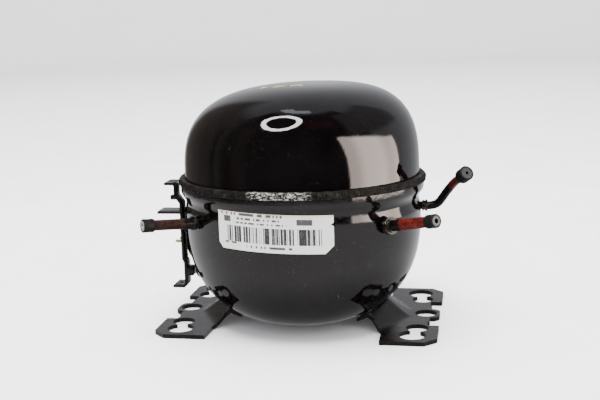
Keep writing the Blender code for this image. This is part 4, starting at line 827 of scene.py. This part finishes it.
class COMPRESSOR_OT_shells(bpy.types.Operator):
    """Builds the lid and the bowl"""

    bl_idname = "compressor.shells"
    bl_label = "Shells"

    def execute(self, context):
        shell = context.scene.compressor_shell
        turns = dome_turns()
        lid_height = shell.crown_z - shell.seam_z
        rings = [plan_ring(LID_LOW.z, 0.0, shell.around), plan_ring(shell.seam_z, 0.0, shell.around)]
        for turn in turns:
            rings.append(dome_ring(turn, 0.0, shell.lid_crown_x, shell.seam_z, lid_height, shell.lid_shoulders))
        paint = gloss_paint("lid_paint", 0.0, 0.30, 0.030)
        lid = show("lid", loft("lid", rings, high_cap=True), paint, node="upper_shell", angle=60)
        thicken(lid, shell.wall)
        rings = wall_rings()
        depth = shell.bottom_z - shell.bulge_z
        for turn in turns:
            rings.append(
                dome_ring(turn, shell.bulge, shell.bowl_crown_x, shell.bulge_z, depth, shell.bowl_shoulders)
            )
        paint = gloss_paint("bowl_paint", 0.10, 0.60, 0.045)
        bowl = show("bowl", loft("bowl", rings, high_cap=True), paint, node="lower_shell", angle=60)
        thicken(bowl, shell.wall)
        low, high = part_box("terminal_cup")
        middle = (low + high) / 2
        radius = (high.z - low.z) / 2 + PIECE_GAP
        hole = turned("hole", ((0.0, -0.02), (radius, -0.02), (radius, 0.02), (0.0, 0.02)), middle, (1, 0, 0), 64)
        carve(bowl, hole)
        return {"FINISHED"}


class COMPRESSOR_OT_seam_weld(bpy.types.Operator):
    """Builds the rippled weld bead round the seam"""

    bl_idname = "compressor.seam_weld"
    bl_label = "Seam weld"

    def execute(self, context):
        shell = context.scene.compressor_shell
        outset = BEAD_HIGH.y - shell.half_width
        low, high = BEAD_LOW.z, BEAD_HIGH.z
        inner = PIECE_GAP
        rim = shell.rim + PIECE_GAP
        round_points = 11
        rings = []
        section = [(inner, shell.rim_z + PIECE_GAP, 0.0), (rim, shell.rim_z + PIECE_GAP, 0.0), (rim, low, 0.0)]
        for i in range(1, round_points):
            turn = math.pi * (i / round_points - 0.5)
            out = rim - 0.0006 + (outset - rim + 0.0001) * math.cos(turn) ** 0.7
            z = (low + high) / 2 + (high - low) / 2 * math.sin(turn)
            section.append((min(out, outset - 0.0005), z, math.cos(turn) ** 0.5))
        section += [(rim - 0.0014, high - 0.0001, 0.6), (inner, high, 0.3)]
        for out, z, loose in section:
            ring = []
            for i in range(shell.bead_around):
                angle = 2 * math.pi * i / shell.bead_around
                place = Vector((*outline_point(angle, 0.0), z * 1.6))
                lump = noise.fractal(place * 210, 1.0, 2.1, 4) * shell.bead_lumps
                ripple = math.sin(angle * 260 + z * 700) * shell.bead_ripple
                shift = min((lump + ripple) * loose, outset - out)
                rise = noise.noise(place * 320) * shell.bead_lumps * 0.35 * loose
                ring.append((*outline_point(angle, out + shift), min(z + rise, high)))
            rings.append(ring)
        # The bead's painted highlights sit on its front between these two X values.
        finish = weld_scale("seam_scale", (-0.033, 0.012), 0.0)
        show("weld_bead", loft("weld_bead", rings, closed=True), finish, node="seam_weld", angle=70)
        return {"FINISHED"}


# ---------------------------------------------------------------- feet
def arc(centre, radius, start, end, steps):
    x, y = centre
    points = []
    for i in range(steps + 1):
        angle = math.radians(start + (end - start) * i / steps)
        points.append((x + radius * math.cos(angle), y + radius * math.sin(angle)))
    return points


def saddle_depth(x, y):
    """How far a point lies inside the two creases and the flat tabs."""
    foot = bpy.context.scene.compressor_foot
    run_x = foot.crease_x - foot.in_x
    run_y = foot.saddle_half_y - foot.crease_half_y
    side = (run_y * (foot.crease_x - x) - run_x * (abs(y) - foot.crease_half_y)) / math.hypot(run_x, run_y)
    return max(0.0, min(foot.crease_x - x, side))


def foot_height(x, y, side):
    """Height of a foot's lower face: flat at the tabs, rising to follow the bowl."""
    foot = bpy.context.scene.compressor_foot
    depth = saddle_depth(x, y)
    rise = foot.slope * depth * depth / (depth + foot.bend)
    step = 0.001
    world_x = side * x + PATTERN_X
    under = bowl_height(world_x, y)
    out = bowl_height(world_x + side * step, y)
    beside = bowl_height(world_x, abs(y) + step)
    if under is None:
        return rise
    if out is None or beside is None:
        return max(0.0, min(rise, under - 2 * foot.plate))
    slope = math.hypot(out - under, beside - under) / step
    room = under - 2 * PIECE_GAP - foot.plate * math.sqrt(1 + slope * slope) - 0.00045 * slope
    return max(0.0, min(rise, room))


def foot_outline():
    foot = bpy.context.scene.compressor_foot
    corner, short, step = 0.0060, 0.0005, 0.0012
    tip = foot.out_x - short
    notch_middle = (foot.middle_half_y + foot.tab_inner_y) / 2
    half = arc((tip - corner, foot.middle_half_y - corner), corner, 0, 90, 10)
    half += [(foot.notch_x + step, foot.middle_half_y)]
    half += [(foot.notch_x + step, notch_middle - step)]
    half += arc((foot.notch_x + step, notch_middle + step), step, 270, 180, 4)
    half += arc((foot.notch_x + step, foot.tab_inner_y - step), step, 180, 90, 4)
    half += [
        (foot.out_x, foot.tab_inner_y),
        (foot.out_x, foot.half_y - foot.chamfer),
        (foot.out_x - foot.chamfer, foot.half_y),
        (foot.in_x, foot.half_y),
        (foot.in_x - PIECE_GAP, foot.saddle_half_y),
        (foot.in_x - 0.0080, foot.saddle_half_y - 0.0090),
        (foot.saddle_x, foot.saddle_half_y - 0.0120),
    ]
    return half + [(x, -y) for x, y in reversed(half)]


def prism(name, outline, low, high):
    rings = [[(x, y, z) for x, y in outline] for z in (low, high)]
    return loft(name, rings, low_cap=True, high_cap=True)


def foot_solid(side):
    foot = bpy.context.scene.compressor_foot
    fine = 40
    inner = foot.saddle_x - 0.002
    xs = [blend(inner, foot.crease_x, i / fine) for i in range(fine + 1)] + [foot.out_x + 0.002]
    half_ys = [foot.crease_half_y * i / 4 for i in range(4)]
    half_ys += [blend(foot.crease_half_y, foot.saddle_half_y, i / fine) for i in range(fine + 1)]
    half_ys.append(foot.half_y + 0.002)
    ys = [-y for y in reversed(half_ys[1:])] + half_ys
    rows = [[(side * x + PATTERN_X, y, foot_height(x, y, side)) for x in xs] for y in ys]
    top = [[(x, y, z + foot.plate) for x, y, z in row] for row in rows]

    def build(bm):
        low = [[bm.verts.new(p) for p in row] for row in rows]
        high = [[bm.verts.new(p) for p in row] for row in top]
        for sheet in (low, high):
            for near, far in zip(sheet, sheet[1:]):
                for i in range(len(near) - 1):
                    bm.faces.new((near[i], near[i + 1], far[i + 1], far[i]))
        for near, far in zip(low, low[1:]):
            j = low.index(near)
            for end in (0, -1):
                bm.faces.new((near[end], far[end], high[j + 1][end], high[j][end]))
        for row in (0, -1):
            for i in range(len(xs) - 1):
                bm.faces.new((low[row][i], low[row][i + 1], high[row][i + 1], high[row][i]))
        bmesh.ops.recalc_face_normals(bm, faces=bm.faces)

    return mesh_of("foot", build)


class COMPRESSOR_OT_feet(bpy.types.Operator):
    """Builds the two bent feet and their welds to the bowl"""

    bl_idname = "compressor.feet"
    bl_label = "Feet"

    def execute(self, context):
        foot = context.scene.compressor_foot
        finish = satin_paint("foot_paint", 0.5)
        weld = satin_paint("foot_weld_paint", 1.0)
        for side, word in ((1, "right"), (-1, "left")):
            piece = show("foot_plate_" + word, foot_solid(side), finish, node="foot_" + word)
            outline = [(side * x + PATTERN_X, y) for x, y in foot_outline()]
            carve(piece, prism("outline", outline, -0.01, 0.05), "INTERSECT")
            holes = [(foot.middle_hole, 0)]
            holes += [(hole, mark) for hole in (foot.large_hole, foot.small_hole) for mark in (-1, 1)]
            for (x, y, radius), mark in holes:
                circle = arc((side * x + PATTERN_X, mark * y), radius, 0, 354, 59)
                carve(piece, prism("hole", circle, -0.01, 0.03))
            soften(piece, foot.edge, 3, 45)
            self.welds(foot, side, word, weld)
        return {"FINISHED"}

    def welds(self, foot, side, word, finish):
        """A lumpy weld along the front and back edge of the saddle."""
        for mark, row in ((-1, "front"), (1, "rear")):
            points = []
            for i in range(25):
                x = blend(foot.saddle_x + 0.0030, foot.in_x - 0.0060, i / 24)
                y = blend(foot.saddle_half_y - 0.0135, foot.saddle_half_y - 0.0090, i / 24)
                z = foot_height(x, y, side) + foot.plate
                points.append((side * x + PATTERN_X, mark * y, z))
            def thickness(share):
                seed = Vector((share * 9, mark, side))
                return 0.0012 * (0.55 + 0.45 * math.sin(math.pi * share)) * (1 + 0.35 * noise.noise(seed * 2))
            show(f"foot_weld_{word}_{row}", swept("weld", points, thickness, 12), finish, angle=80)


# ---------------------------------------------------------------- connectors
def cap_axis(name):
    """A cap's tube tip and the direction it pulls off in."""
    connector = bpy.context.scene.compressor_connector
    direction = Vector(JOINTS[name + "_pull"]["axis"]).normalized()
    low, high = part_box(name)
    tip = (low + high) / 2 + direction * (connector.cap_grip - connector.cap_length / 2)
    return tip, direction


def tube_profile(radius, wall, length, sleeve):
    """A tube whose painted root is a little thicker than its bare end."""
    step = 0.00018
    return (
        (radius - wall, length),
        (radius - 0.0001, length),
        (radius, length - 0.0002),
        (radius, sleeve + 0.0004),
        (radius + step, sleeve),
        (radius + step, 0.0),
        (radius - wall, 0.0),
    )


def collar_profile(radius, hole, length):
    groove, edge, step = 0.0009, 0.00025, 0.0010
    return (
        (hole, length),
        (hole + step - edge, length),
        (hole + step, length - edge),
        (hole + step, length * 0.8),
        (radius - edge, length * 0.8),
        (radius, length * 0.8 - edge),
        (radius, length * 0.57),
        (radius - groove, length * 0.5),
        (radius - groove, length * 0.36),
        (radius - edge, length * 0.28),
        (radius - edge, 0.0),
        (hole, 0.0),
    )


CAP_EDGE = 0.0007  # radius of a cap's outer edge
CAP_HOLE_DEPTH = 0.0030  # how deep the hole in a cap's end goes


def cap_profile(radius, tube_radius, wall, length, grip, hole):
    """A moulded cap: lip, skirt, rounded shoulder, recessed face with or without a hole, and an inner plug."""
    inner = tube_radius + PIECE_GAP
    plug = tube_radius - wall - PIECE_GAP
    face = radius - 0.0012
    profile = [(0.0, length - 0.0004)]
    if hole:
        profile = [(0.0, length - CAP_HOLE_DEPTH), (hole, length - CAP_HOLE_DEPTH), (hole, length - 0.0004)]
    profile += [(face, length - 0.0004), (face + 0.0001, length)]
    for turn in (0.1, 0.5, 0.9, 1.3, 1.57):
        out, up = CAP_EDGE * math.sin(turn), CAP_EDGE * math.cos(turn)
        profile.append((radius - CAP_EDGE + out, length - CAP_EDGE + up))
    profile += [
        (radius - 0.0001, length * 0.5), (radius, 0.0008), (radius - 0.0001, 0.0003), (radius - 0.0004, 0.0),
        (inner, 0.0), (inner, grip + PIECE_GAP), (plug, grip + PIECE_GAP),
        (plug, 0.0012), (plug - 0.0004, 0.0004), (0.0, 0.0004),
    ]
    return profile


def cap_face(name, body, centre, direction, radius, hole, finish):
    """The disc set in a cap's end, with a dished rim and a hole or a raised middle."""
    side_z = 0.0004
    if hole:
        profile = [(hole, 0.0), (hole, side_z), (hole + 0.0002, side_z + 0.0001)]
    else:
        profile = [(0.0, side_z + 0.00012), (radius * 0.30, side_z + 0.0001)]
        profile += [(radius * 0.42, side_z - 0.0001), (radius * 0.60, side_z - 0.00012)]
    profile += [(radius - 0.0003, side_z), (radius, side_z - 0.0002), (radius, 0.0)]
    if not hole:
        profile.append((0.0, 0.0))
    return show(name, turned(name, profile, centre, direction, 48), finish, body=body)


class COMPRESSOR_OT_connectors(bpy.types.Operator):
    """Builds the three tubes with their collars and caps"""

    bl_idname = "compressor.connectors"
    bl_label = "Connector tubes and caps"

    def execute(self, context):
        connector = context.scene.compressor_connector
        satin = satin_paint("collar_paint", 0.6)
        pale = bright_metal("cap_disc_metal", (0.075, 0.070, 0.066), 0.5, 0.75, metallic=0.0)
        shiny = bright_metal("cap_button_metal", (0.80, 0.80, 0.79), 0.15, 0.38, grain=0.0008)
        dull = bright_metal("cap_disc_dull", (0.013, 0.013, 0.0135), 0.55, 0.8, metallic=0.0)
        lengths = (connector.suction_length, connector.process_length)
        faces = ((shiny, 0.0), (pale, 0.0017), (dull, 0.0011))
        rubber = moulded_rubber("cap_rubber")
        for i, name in enumerate(("suction", "process", "discharge")):
            tip, direction = cap_axis(name + "_cap")
            radius = connector.tube_r if name != "discharge" else connector.discharge_r
            copper = copper_lacquer(name + "_copper", tip, direction, connector.painted[i], connector.brown[i])
            if name == "discharge":
                self.discharge(connector, copper)
            else:
                root = tip - direction * lengths[i]
                sleeve = lengths[i] - connector.painted[i]
                profile = tube_profile(radius, connector.tube_wall, lengths[i], sleeve)
                show(name + "_pipe", turned("pipe", profile, root, direction), copper, node=name + "_tube")
            self.collar(name, direction if name != "discharge" else Vector((1, 0, 0)), radius, connector, i, satin)
            cap_r = connector.cap_r[i]
            start = tip - direction * connector.cap_grip
            finish, hole = faces[i]
            lengths_in = (connector.tube_wall, connector.cap_length, connector.cap_grip)
            cap = turned("cap", cap_profile(cap_r, radius, *lengths_in, hole), start, direction)
            show(name + "_cap_rubber", cap, rubber, name + "_cap", name + "_cap")
            centre = start + direction * (connector.cap_length - 0.00042)
            cap_face(name + "_cap_face", name + "_cap", centre, direction, cap_r - 0.00125, hole, finish)
        return {"FINISHED"}

    def collar(self, name, direction, radius, connector, i, finish):
        low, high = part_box(name + "_collar")
        start = (low + high) / 2 - direction * connector.collar_length[i] / 2
        profile = collar_profile(connector.collar_r[i], radius + 0.0002, connector.collar_length[i])
        show(name + "_ferrule", turned("collar", profile, start, direction), finish, node=name + "_collar")

    def discharge(self, connector, finish):
        """The bent tube, swept along its route."""
        route = (
            (0.0790, 0.0060, 0.0826), (0.0860, 0.0062, 0.0826), (0.0935, 0.0063, 0.0827), (0.0985, 0.0055, 0.0852),
            (0.1039, 0.0012, 0.0932), (0.1096, -0.0083, 0.1016),
            (0.1136, -0.0152, 0.1059), (0.1177, -0.0220, 0.1101),
        )
        points = smooth_route([(x + PATTERN_X, y, z) for x, y, z in route], 8)
        mesh = swept("tube", points, connector.discharge_r, 28)
        tube = show("discharge_pipe", mesh, finish, node="discharge_tube")
        start = points[0] - (points[1] - points[0])
        end = points[-1] + (points[-1] - points[-2])
        carve(tube, swept("bore", [start] + points + [end], connector.discharge_r - connector.tube_wall, 20))


# ---------------------------------------------------------------- terminal and label
class COMPRESSOR_OT_terminal(bpy.types.Operator):
    """Finishes the terminal and rounds the bracket's edges"""

    bl_idname = "compressor.terminal"
    bl_label = "Terminal and bracket"

    def execute(self, context):
        satin = satin_paint("bracket_paint", 0.55)
        softened_node("terminal_bracket", "bracket", satin, 0.00030)
        softened_node("terminal_cup", "cup", gloss_paint("cup_paint", 0.2, 0.7, 0.15), 0.00015)
        brass = bright_metal("pin_brass", (0.62, 0.52, 0.34), 0.22, 0.42, grain=0.0008)
        glass = Finish("pin_glass", (0.05, 0.12, 0.08), 0.12)
        glass.base(glass.ramp(glass.noise(0.0012, 4), (0.3, (0.02, 0.06, 0.04)), (0.7, (0.09, 0.17, 0.12))))
        face_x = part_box("terminal_cup")[0].x
        for pin in ("common", "start", "run"):
            node = frame["nodes"]["terminal_pin_" + pin]
            node.data.materials.clear()
            node.data.materials.append(brass)
            low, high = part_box("terminal_pin_" + pin)
            radius = (high.z - low.z) / 2
            start = Vector((face_x - 0.0004 + 0.0012, (low.y + high.y) / 2, (low.z + high.z) / 2))
            profile = [(radius + 0.00005, -0.0022), (radius + 0.00005, 0.0009), (radius + 0.0007, 0.0007)]
            profile += [(radius + 0.0016, 0.0001), (radius + 0.0018, -0.0022)]
            show("pin_bead_" + pin, turned("bead", profile, start, (-1, 0, 0), 24), glass.material)
        self.lug_weld(context)
        return {"FINISHED"}

    def lug_weld(self, context):
        """The lump of weld that joins the bracket's lug to the bowl."""
        low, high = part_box("terminal_bracket")
        centre = Vector((-0.0838, (low.y + high.y) / 2 - 0.0055, 0.0368))

        def build(bm):
            bmesh.ops.create_icosphere(bm, subdivisions=5, radius=1.0)
            for vert in bm.verts:
                out = vert.co.normalized()
                lump = 1 + 0.16 * noise.fractal(out * 1.6, 1.0, 2.0, 4)
                vert.co = centre + Vector((out.x * 0.0036, out.y * 0.0042, out.z * 0.0042)) * lump

        mesh = mesh_of("lug_weld", build)
        show("lug_weld", mesh, gloss_paint("lug_weld_paint", 0.3, 0.9, 0.16), angle=80)


class COMPRESSOR_OT_label(bpy.types.Operator):
    """Builds the label, curved to the bowl, and the paint mark on the lid"""

    bl_idname = "compressor.label"
    bl_label = "Label"

    def execute(self, context):
        label = context.scene.compressor_label
        bowl = bpy.data.objects["bowl"]
        tree = BVHTree.FromObject(bowl, context.evaluated_depsgraph_get())
        low, high = LABEL_LOW, LABEL_HIGH
        levels, columns = 72, 120
        rows = []
        for k in range(levels + 1):
            rise = (high.z - low.z) * k / levels
            left = low.x + max(0.0, label.corner_low_left - rise) * 0.75
            right = high.x - max(0.0, label.corner_low_right - rise)
            torn = abs(rise - (high.z - low.z) * 0.76)
            right -= label.notch * max(0.0, 1 - torn / 0.0011)
            row = []
            for i in range(columns + 1):
                x = blend(left, right, i / columns)
                z = low.z + rise - (x - (low.x + high.x) / 2) * label.tilt
                place, normal, _, _ = tree.ray_cast(Vector((x, low.y - 0.05, z)), Vector((0, 1, 0)))
                row.append(place + normal * 0.00012)
            rows.append(row)
        print_finish = printed_film("label_print", low, high)
        film = show("label_film", grid_sheet("label_film", rows), print_finish, node="label_plate")
        step = film.modifiers.new("film", "SOLIDIFY")
        step.thickness = 0.00010
        step.offset = 0.0
        apply_modifiers(film)
        self.paint_mark(context)
        return {"FINISHED"}

    def paint_mark(self, context):
        """A few dry strokes of yellow paint on top of the lid."""
        tree = BVHTree.FromObject(bpy.data.objects["lid"], context.evaluated_depsgraph_get())
        made = Finish("mark_paint", (0.55, 0.42, 0.06), 0.5)
        made.base(made.ramp(made.noise(0.0016, 4, 0.7), (0.35, (0.16, 0.13, 0.03)), (0.60, (0.62, 0.48, 0.07))))
        strokes = (
            ((-0.0330, -0.0250), (-0.0300, -0.0215), (-0.0285, -0.0235)),
            ((-0.0230, -0.0270), (-0.0185, -0.0245), (-0.0150, -0.0262)),
            ((-0.0110, -0.0275), (-0.0080, -0.0228), (-0.0040, -0.0240), (-0.0020, -0.0285)),
        )
        for index, stroke in enumerate(strokes):
            route = smooth_route([(x, y, 0.0) for x, y in stroke], 10)
            points = []
            for point in route:
                place, normal, _, _ = tree.ray_cast(Vector((point.x, point.y, 0.3)), Vector((0, 0, -1)))
                points.append(place - normal * 0.00038)
            show(f"paint_stroke_{index + 1}", swept("stroke", points, 0.00055, 10), made.material)


# ---------------------------------------------------------------- sealed pieces
INNER_FINISHES = {
    "steel": lambda: bright_metal("inner_steel", (0.46, 0.46, 0.47), 0.22, 0.45),
    "cast_iron": lambda: cast_surface("inner_iron", (0.16, 0.16, 0.165)),
    "lamination": lambda: stacked_sheets("inner_lamination", (0.30, 0.30, 0.32)),
    "enamelled_wire": lambda: wound_wire("inner_winding", (0.50, 0.20, 0.07)),
    "aluminium": lambda: bright_metal("inner_aluminium", (0.70, 0.71, 0.72), 0.30, 0.50, grain=0.0018),
    "plastic": lambda: moulded_plastic("inner_plastic", (0.72, 0.69, 0.60)),
    "gasket": lambda: fibre_gasket("inner_gasket", (0.20, 0.28, 0.22)),
    "copper": lambda: bright_metal("inner_copper", (0.62, 0.26, 0.14), 0.22, 0.42),
}


class COMPRESSOR_OT_inside(bpy.types.Operator):
    """Finishes the sealed motor and pump"""

    bl_idname = "compressor.inside"
    bl_label = "Motor and pump"

    def execute(self, context):
        slots = {part["node"]: part["material_slot"] for part in frame["record"]["subparts"]}
        finishes = {slot: make() for slot, make in INNER_FINISHES.items()}
        shown_elsewhere = {piece for piece in frame["nodes"] if not self.is_inner(piece)}
        for name, node in frame["nodes"].items():
            if name in shown_elsewhere:
                continue
            node.data.materials.clear()
            node.data.materials.append(finishes[slots[name]])
        return {"FINISHED"}

    def is_inner(self, name):
        body = node_body(name)
        sealed = body not in ("housing", "suction_cap", "process_cap", "discharge_cap")
        return sealed or name.startswith("spring_stud") or name == "terminal_connector"


def node_body(name):
    for body, members in frame["record"]["behaviour"]["bodies"].items():
        if name in members:
            return body
    raise KeyError(name)


# ---------------------------------------------------------------- stage
def stage_piece(name, mesh, finish, seen=False):
    made = bpy.data.objects.new(name, mesh)
    bpy.context.scene.collection.objects.link(made)
    mesh.materials.append(finish)
    if not seen:
        made.visible_camera = False
        made.visible_diffuse = False
        made.visible_shadow = False
        made.visible_transmission = False
    return made


def sky_point(azimuth, elevation, distance, centre):
    """A point in a direction: azimuth 0 is in front at -Y and +90 is at +X."""
    azimuth, elevation = math.radians(azimuth), math.radians(elevation)
    flat = math.cos(elevation)
    out = Vector((flat * math.sin(azimuth), -flat * math.cos(azimuth), math.sin(elevation)))
    return centre + out * distance


def sky_patch(name, azimuths, elevations, distance, centre, finish, cells=24):
    rows = []
    for k in range(cells + 1):
        elevation = blend(elevations[0], elevations[1], k / cells)
        turns = [blend(azimuths[0], azimuths[1], i / cells) for i in range(cells + 1)]
        row = [sky_point(azimuth, elevation, distance, centre) for azimuth in turns]
        rows.append(row)
    return stage_piece(name, grid_sheet(name, rows), finish)


ROOM = (
    # azimuths, elevations, softness in degrees, colour: what the gloss paint mirrors
    ((-200, 200), (-90, 90), (1, 1), (0.84, 0.85, 0.90)),
    ((-145, -58), (-30, 54), (14, 16), (0.22, 0.19, 0.17)),
    ((-72, 80), (-30, 72), (10, 10), (0.030, 0.024, 0.022)),
    ((-57, -44), (-30, 38), (7, 12), (0.15, 0.10, 0.07)),
    ((-86, -80), (-30, 30), (4, 10), (0.09, 0.08, 0.07)),
    ((56, 130), (22, 62), (10, 8), (0.36, 0.34, 0.35)),
    ((49, 110), (-16, 22), (2, 3), (12.5, 10.4, 9.3)),
    ((62, 92), (-16, 20), (14, 6), (19.0, 16.1, 14.6)),
    ((12, 46), (40, 55), (8, 5), (0.27, 0.045, 0.07)),
)


PANEL_LEAN = (0.30, 0.20)  # how the bright panel's sides and its top lean


def room_colour(azimuth, elevation):
    """Colour of the mirrored room in a direction, in degrees."""
    result = Vector(ROOM[0][3])
    for (left, right), (low, high), (soft_x, soft_z), patch in ROOM[1:]:
        lean_x, lean_z = PANEL_LEAN if patch[0] > 2 else (0.0, 0.0)
        side, rise = azimuth + elevation * lean_x, elevation + max(0.0, azimuth - left) * lean_z
        share = smooth_step((side - left) / soft_x + 0.5) * smooth_step((right - side) / soft_x + 0.5)
        share *= smooth_step((elevation - low) / soft_z + 0.5) * smooth_step((high - rise) / soft_z + 0.5)
        result = result.lerp(Vector(patch), share)
    return result


class COMPRESSOR_OT_stage(bpy.types.Operator):
    """Builds the floor, the lights, the mirrored room and the camera"""

    bl_idname = "compressor.stage"
    bl_label = "Studio"

    def execute(self, context):
        stage = context.scene.compressor_stage
        self.camera(context, stage)
        self.floor(stage)
        self.surroundings(context, stage)
        self.mirrored_room(stage)
        self.lights(context, stage)
        return {"FINISHED"}

    def camera(self, context, stage):
        data = bpy.data.cameras.new("camera")
        data.lens = stage.lens
        data.sensor_width = 36.0
        data.clip_end = 30.0
        made = bpy.data.objects.new("camera", data)
        context.scene.collection.objects.link(made)
        yaw, pitch, roll = stage.yaw, stage.pitch, stage.roll
        ahead = Vector((math.sin(yaw) * math.cos(pitch), math.cos(yaw) * math.cos(pitch), -math.sin(pitch)))
        right = Vector((math.cos(yaw), -math.sin(yaw), 0.0))
        up = right.cross(ahead)
        level_x = right * math.cos(roll) + up * math.sin(roll)
        level_y = up * math.cos(roll) - right * math.sin(roll)
        turn = Matrix((level_x, level_y, -ahead)).transposed()
        made.matrix_world = Matrix.Translation(stage.camera) @ turn.to_4x4()
        context.scene.camera = made

    def floor(self, stage):
        """A pale floor that curves up far away. The gloss mirrors the mirrored floor instead."""

        def build(bm):
            bmesh.ops.create_circle(bm, cap_ends=True, segments=128, radius=stage.near_floor)

        board = studio_floor("floor_board")
        near = stage_piece("near_floor", mesh_of("near_floor", build), board, seen=True)
        near.visible_glossy = False
        radii = [(stage.near_floor, 0.0), (2.0, 0.0), (4.0, 0.0)]
        for turn in (0.1, 0.2, 0.3, 0.45, 0.6, 0.75, 0.9):
            radii.append((4.0 + 2.0 * math.sin(turn), 2.0 - 2.0 * math.cos(turn)))
        rings = []
        for radius, z in radii:
            turns = [2 * math.pi * i / 128 for i in range(128)]
            rings.append([(radius * math.cos(turn), radius * math.sin(turn), z) for turn in turns])
        far = stage_piece("far_floor", loft("far_floor", rings), board, seen=True)
        far.data.shade_smooth()
        far.visible_glossy = False

    def surroundings(self, context, stage):
        world = bpy.data.worlds.new("surroundings")
        world.use_nodes = True
        back = world.node_tree.nodes["Background"]
        back.inputs["Color"].default_value = (0.965, 0.97, 1.0, 1.0)
        back.inputs["Strength"].default_value = stage.sky
        context.scene.world = world

    def mirrored_room(self, stage):
        """A dome that only gloss sees: pale walls, the dark room in front, the bright panel and the lamps."""
        centre = Vector((0, 0, 0.12))
        step = 1.5
        columns, levels = int(360 / step), int(180 / step)
        tones = []
        rows = []
        for k in range(levels + 1):
            row = []
            elevation = -90 + k * step
            for i in range(columns + 1):
                azimuth = -180 + i * step
                row.append(sky_point(azimuth, elevation, 8.0, centre))
                tones.append(room_colour(azimuth, elevation))
            rows.append(row)

        def build(bm):
            grid = [[bm.verts.new(point) for point in row] for row in rows]
            for low, high in zip(grid, grid[1:]):
                for i in range(len(low) - 1):
                    bm.faces.new((low[i], low[i + 1], high[i + 1], high[i]))

        dome = mesh_of("mirrored_room", build)
        tint = dome.color_attributes.new("tone", "FLOAT_COLOR", "POINT")
        for item, tone in zip(tint.data, tones):
            item.color = (*tone, 1.0)
        stage_piece("mirrored_room", dome, glow("room_glow", None, stage.room))
        self.mirrored_floor(stage)
        self.ring_light(stage, centre)
        roof = glow("roof_card", (0.80, 0.90, 1.0), stage.roof)
        for i in range(5):
            low, high = 76.0 + i * 1.5, 77.0 + i * 1.5
            sky_patch(f"roof_light_{i + 1}", (-84, 30), (low, high), 4.0, centre, roof)

    def mirrored_floor(self, stage):
        """A floor that only gloss sees, with a painted shadow that darkens it under the compressor."""
        rings, tones = [], []
        for k in range(1, 49):
            radius = stage.near_floor * k / 48
            ring = []
            for i in range(96):
                turn = 2 * math.pi * i / 96
                x, y = radius * math.cos(turn), radius * math.sin(turn)
                ring.append((x, y, 0.0))
                reach = math.hypot(x / 0.120, y / 0.110)
                # Painted shadow: the glow drops to a share of its brightness under the compressor.
                light = blend(stage.under, 1.0, smooth_step((reach - 0.3) / 1.3))
                rear = smooth_step((y + 0.2) / 0.5)
                tones.append(Vector(blend(Vector((1.0, 0.97, 0.95)), Vector((0.95, 0.97, 1.02)), rear)) * light)
            rings.append(ring)
        disc = loft("mirrored_floor", rings, low_cap=True)
        tint = disc.color_attributes.new("tone", "FLOAT_COLOR", "POINT")
        for item, tone in zip(tint.data, tones):
            item.color = (*tone, 1.0)
        stage_piece("mirrored_floor", disc, glow("floor_glow", None, stage.mirrored))

    def ring_light(self, stage, centre):
        middle = sky_point(-20, 52, 1.6, centre)
        direction = (middle - centre).normalized()
        side, other = across(direction)
        rings = []
        for radius in (0.34, 0.47):
            ring = []
            for i in range(64):
                angle = 2 * math.pi * i / 64
                ring.append(middle + (side * math.cos(angle) + other * math.sin(angle)) * radius)
            rings.append(ring)
        stage_piece("ring_light", loft("ring_light", rings), glow("ring_glow", (1.0, 0.98, 0.94), stage.ring))

    def lights(self, context, stage):
        aim = (0.0, 0.0, 0.08)
        for name, place, target, watts, width in (
            ("top_light", (-0.10, -0.10, 1.6), aim, stage.top_light, 1.2),
            ("fill_light", (1.5, -0.9, 1.3), aim, stage.fill_light, 1.4),
            ("back_light", (-0.5, 1.5, 2.6), (-0.9, 4.2, 0.0), stage.back_light, 2.0),
        ):
            data = bpy.data.lights.new(name, "AREA")
            data.energy = watts
            data.size = width
            made = bpy.data.objects.new(name, data)
            made.visible_glossy = False
            context.scene.collection.objects.link(made)
            made.location = place
            made.rotation_euler = (Vector(target) - Vector(place)).to_track_quat("-Z", "Y").to_euler()


# ---------------------------------------------------------------- panel and registration
class COMPRESSOR_PT_panel(bpy.types.Panel):
    """Lists the compressor's operators"""

    bl_label = "Compressor"
    bl_space_type = "VIEW_3D"
    bl_region_type = "UI"
    bl_category = "Compressor"

    def draw(self, context):
        for operator in OPERATORS:
            self.layout.operator(operator.bl_idname)


SETTINGS = {
    "compressor_shell": ShellSettings,
    "compressor_foot": FootSettings,
    "compressor_connector": ConnectorSettings,
    "compressor_label": LabelSettings,
    "compressor_finish": FinishSettings,
    "compressor_stage": StageSettings,
}
OPERATORS = (
    COMPRESSOR_OT_stage,
    COMPRESSOR_OT_shells,
    COMPRESSOR_OT_seam_weld,
    COMPRESSOR_OT_feet,
    COMPRESSOR_OT_connectors,
    COMPRESSOR_OT_terminal,
    COMPRESSOR_OT_label,
    COMPRESSOR_OT_inside,
)


def register():
    for settings in SETTINGS.values():
        bpy.utils.register_class(settings)
    for name, settings in SETTINGS.items():
        setattr(bpy.types.Scene, name, PointerProperty(type=settings))
    for operator in OPERATORS:
        bpy.utils.register_class(operator)
    bpy.utils.register_class(COMPRESSOR_PT_panel)


def unregister():
    bpy.utils.unregister_class(COMPRESSOR_PT_panel)
    for operator in reversed(OPERATORS):
        bpy.utils.unregister_class(operator)
    for name, settings in SETTINGS.items():
        delattr(bpy.types.Scene, name)
        bpy.utils.unregister_class(settings)


def main():
    register()
    bpy.ops.compressor.stage()
    bpy.ops.compressor.shells()
    bpy.ops.compressor.seam_weld()
    bpy.ops.compressor.feet()
    bpy.ops.compressor.connectors()
    bpy.ops.compressor.terminal()
    bpy.ops.compressor.label()
    bpy.ops.compressor.inside()


if __name__ == "__main__":
    main()
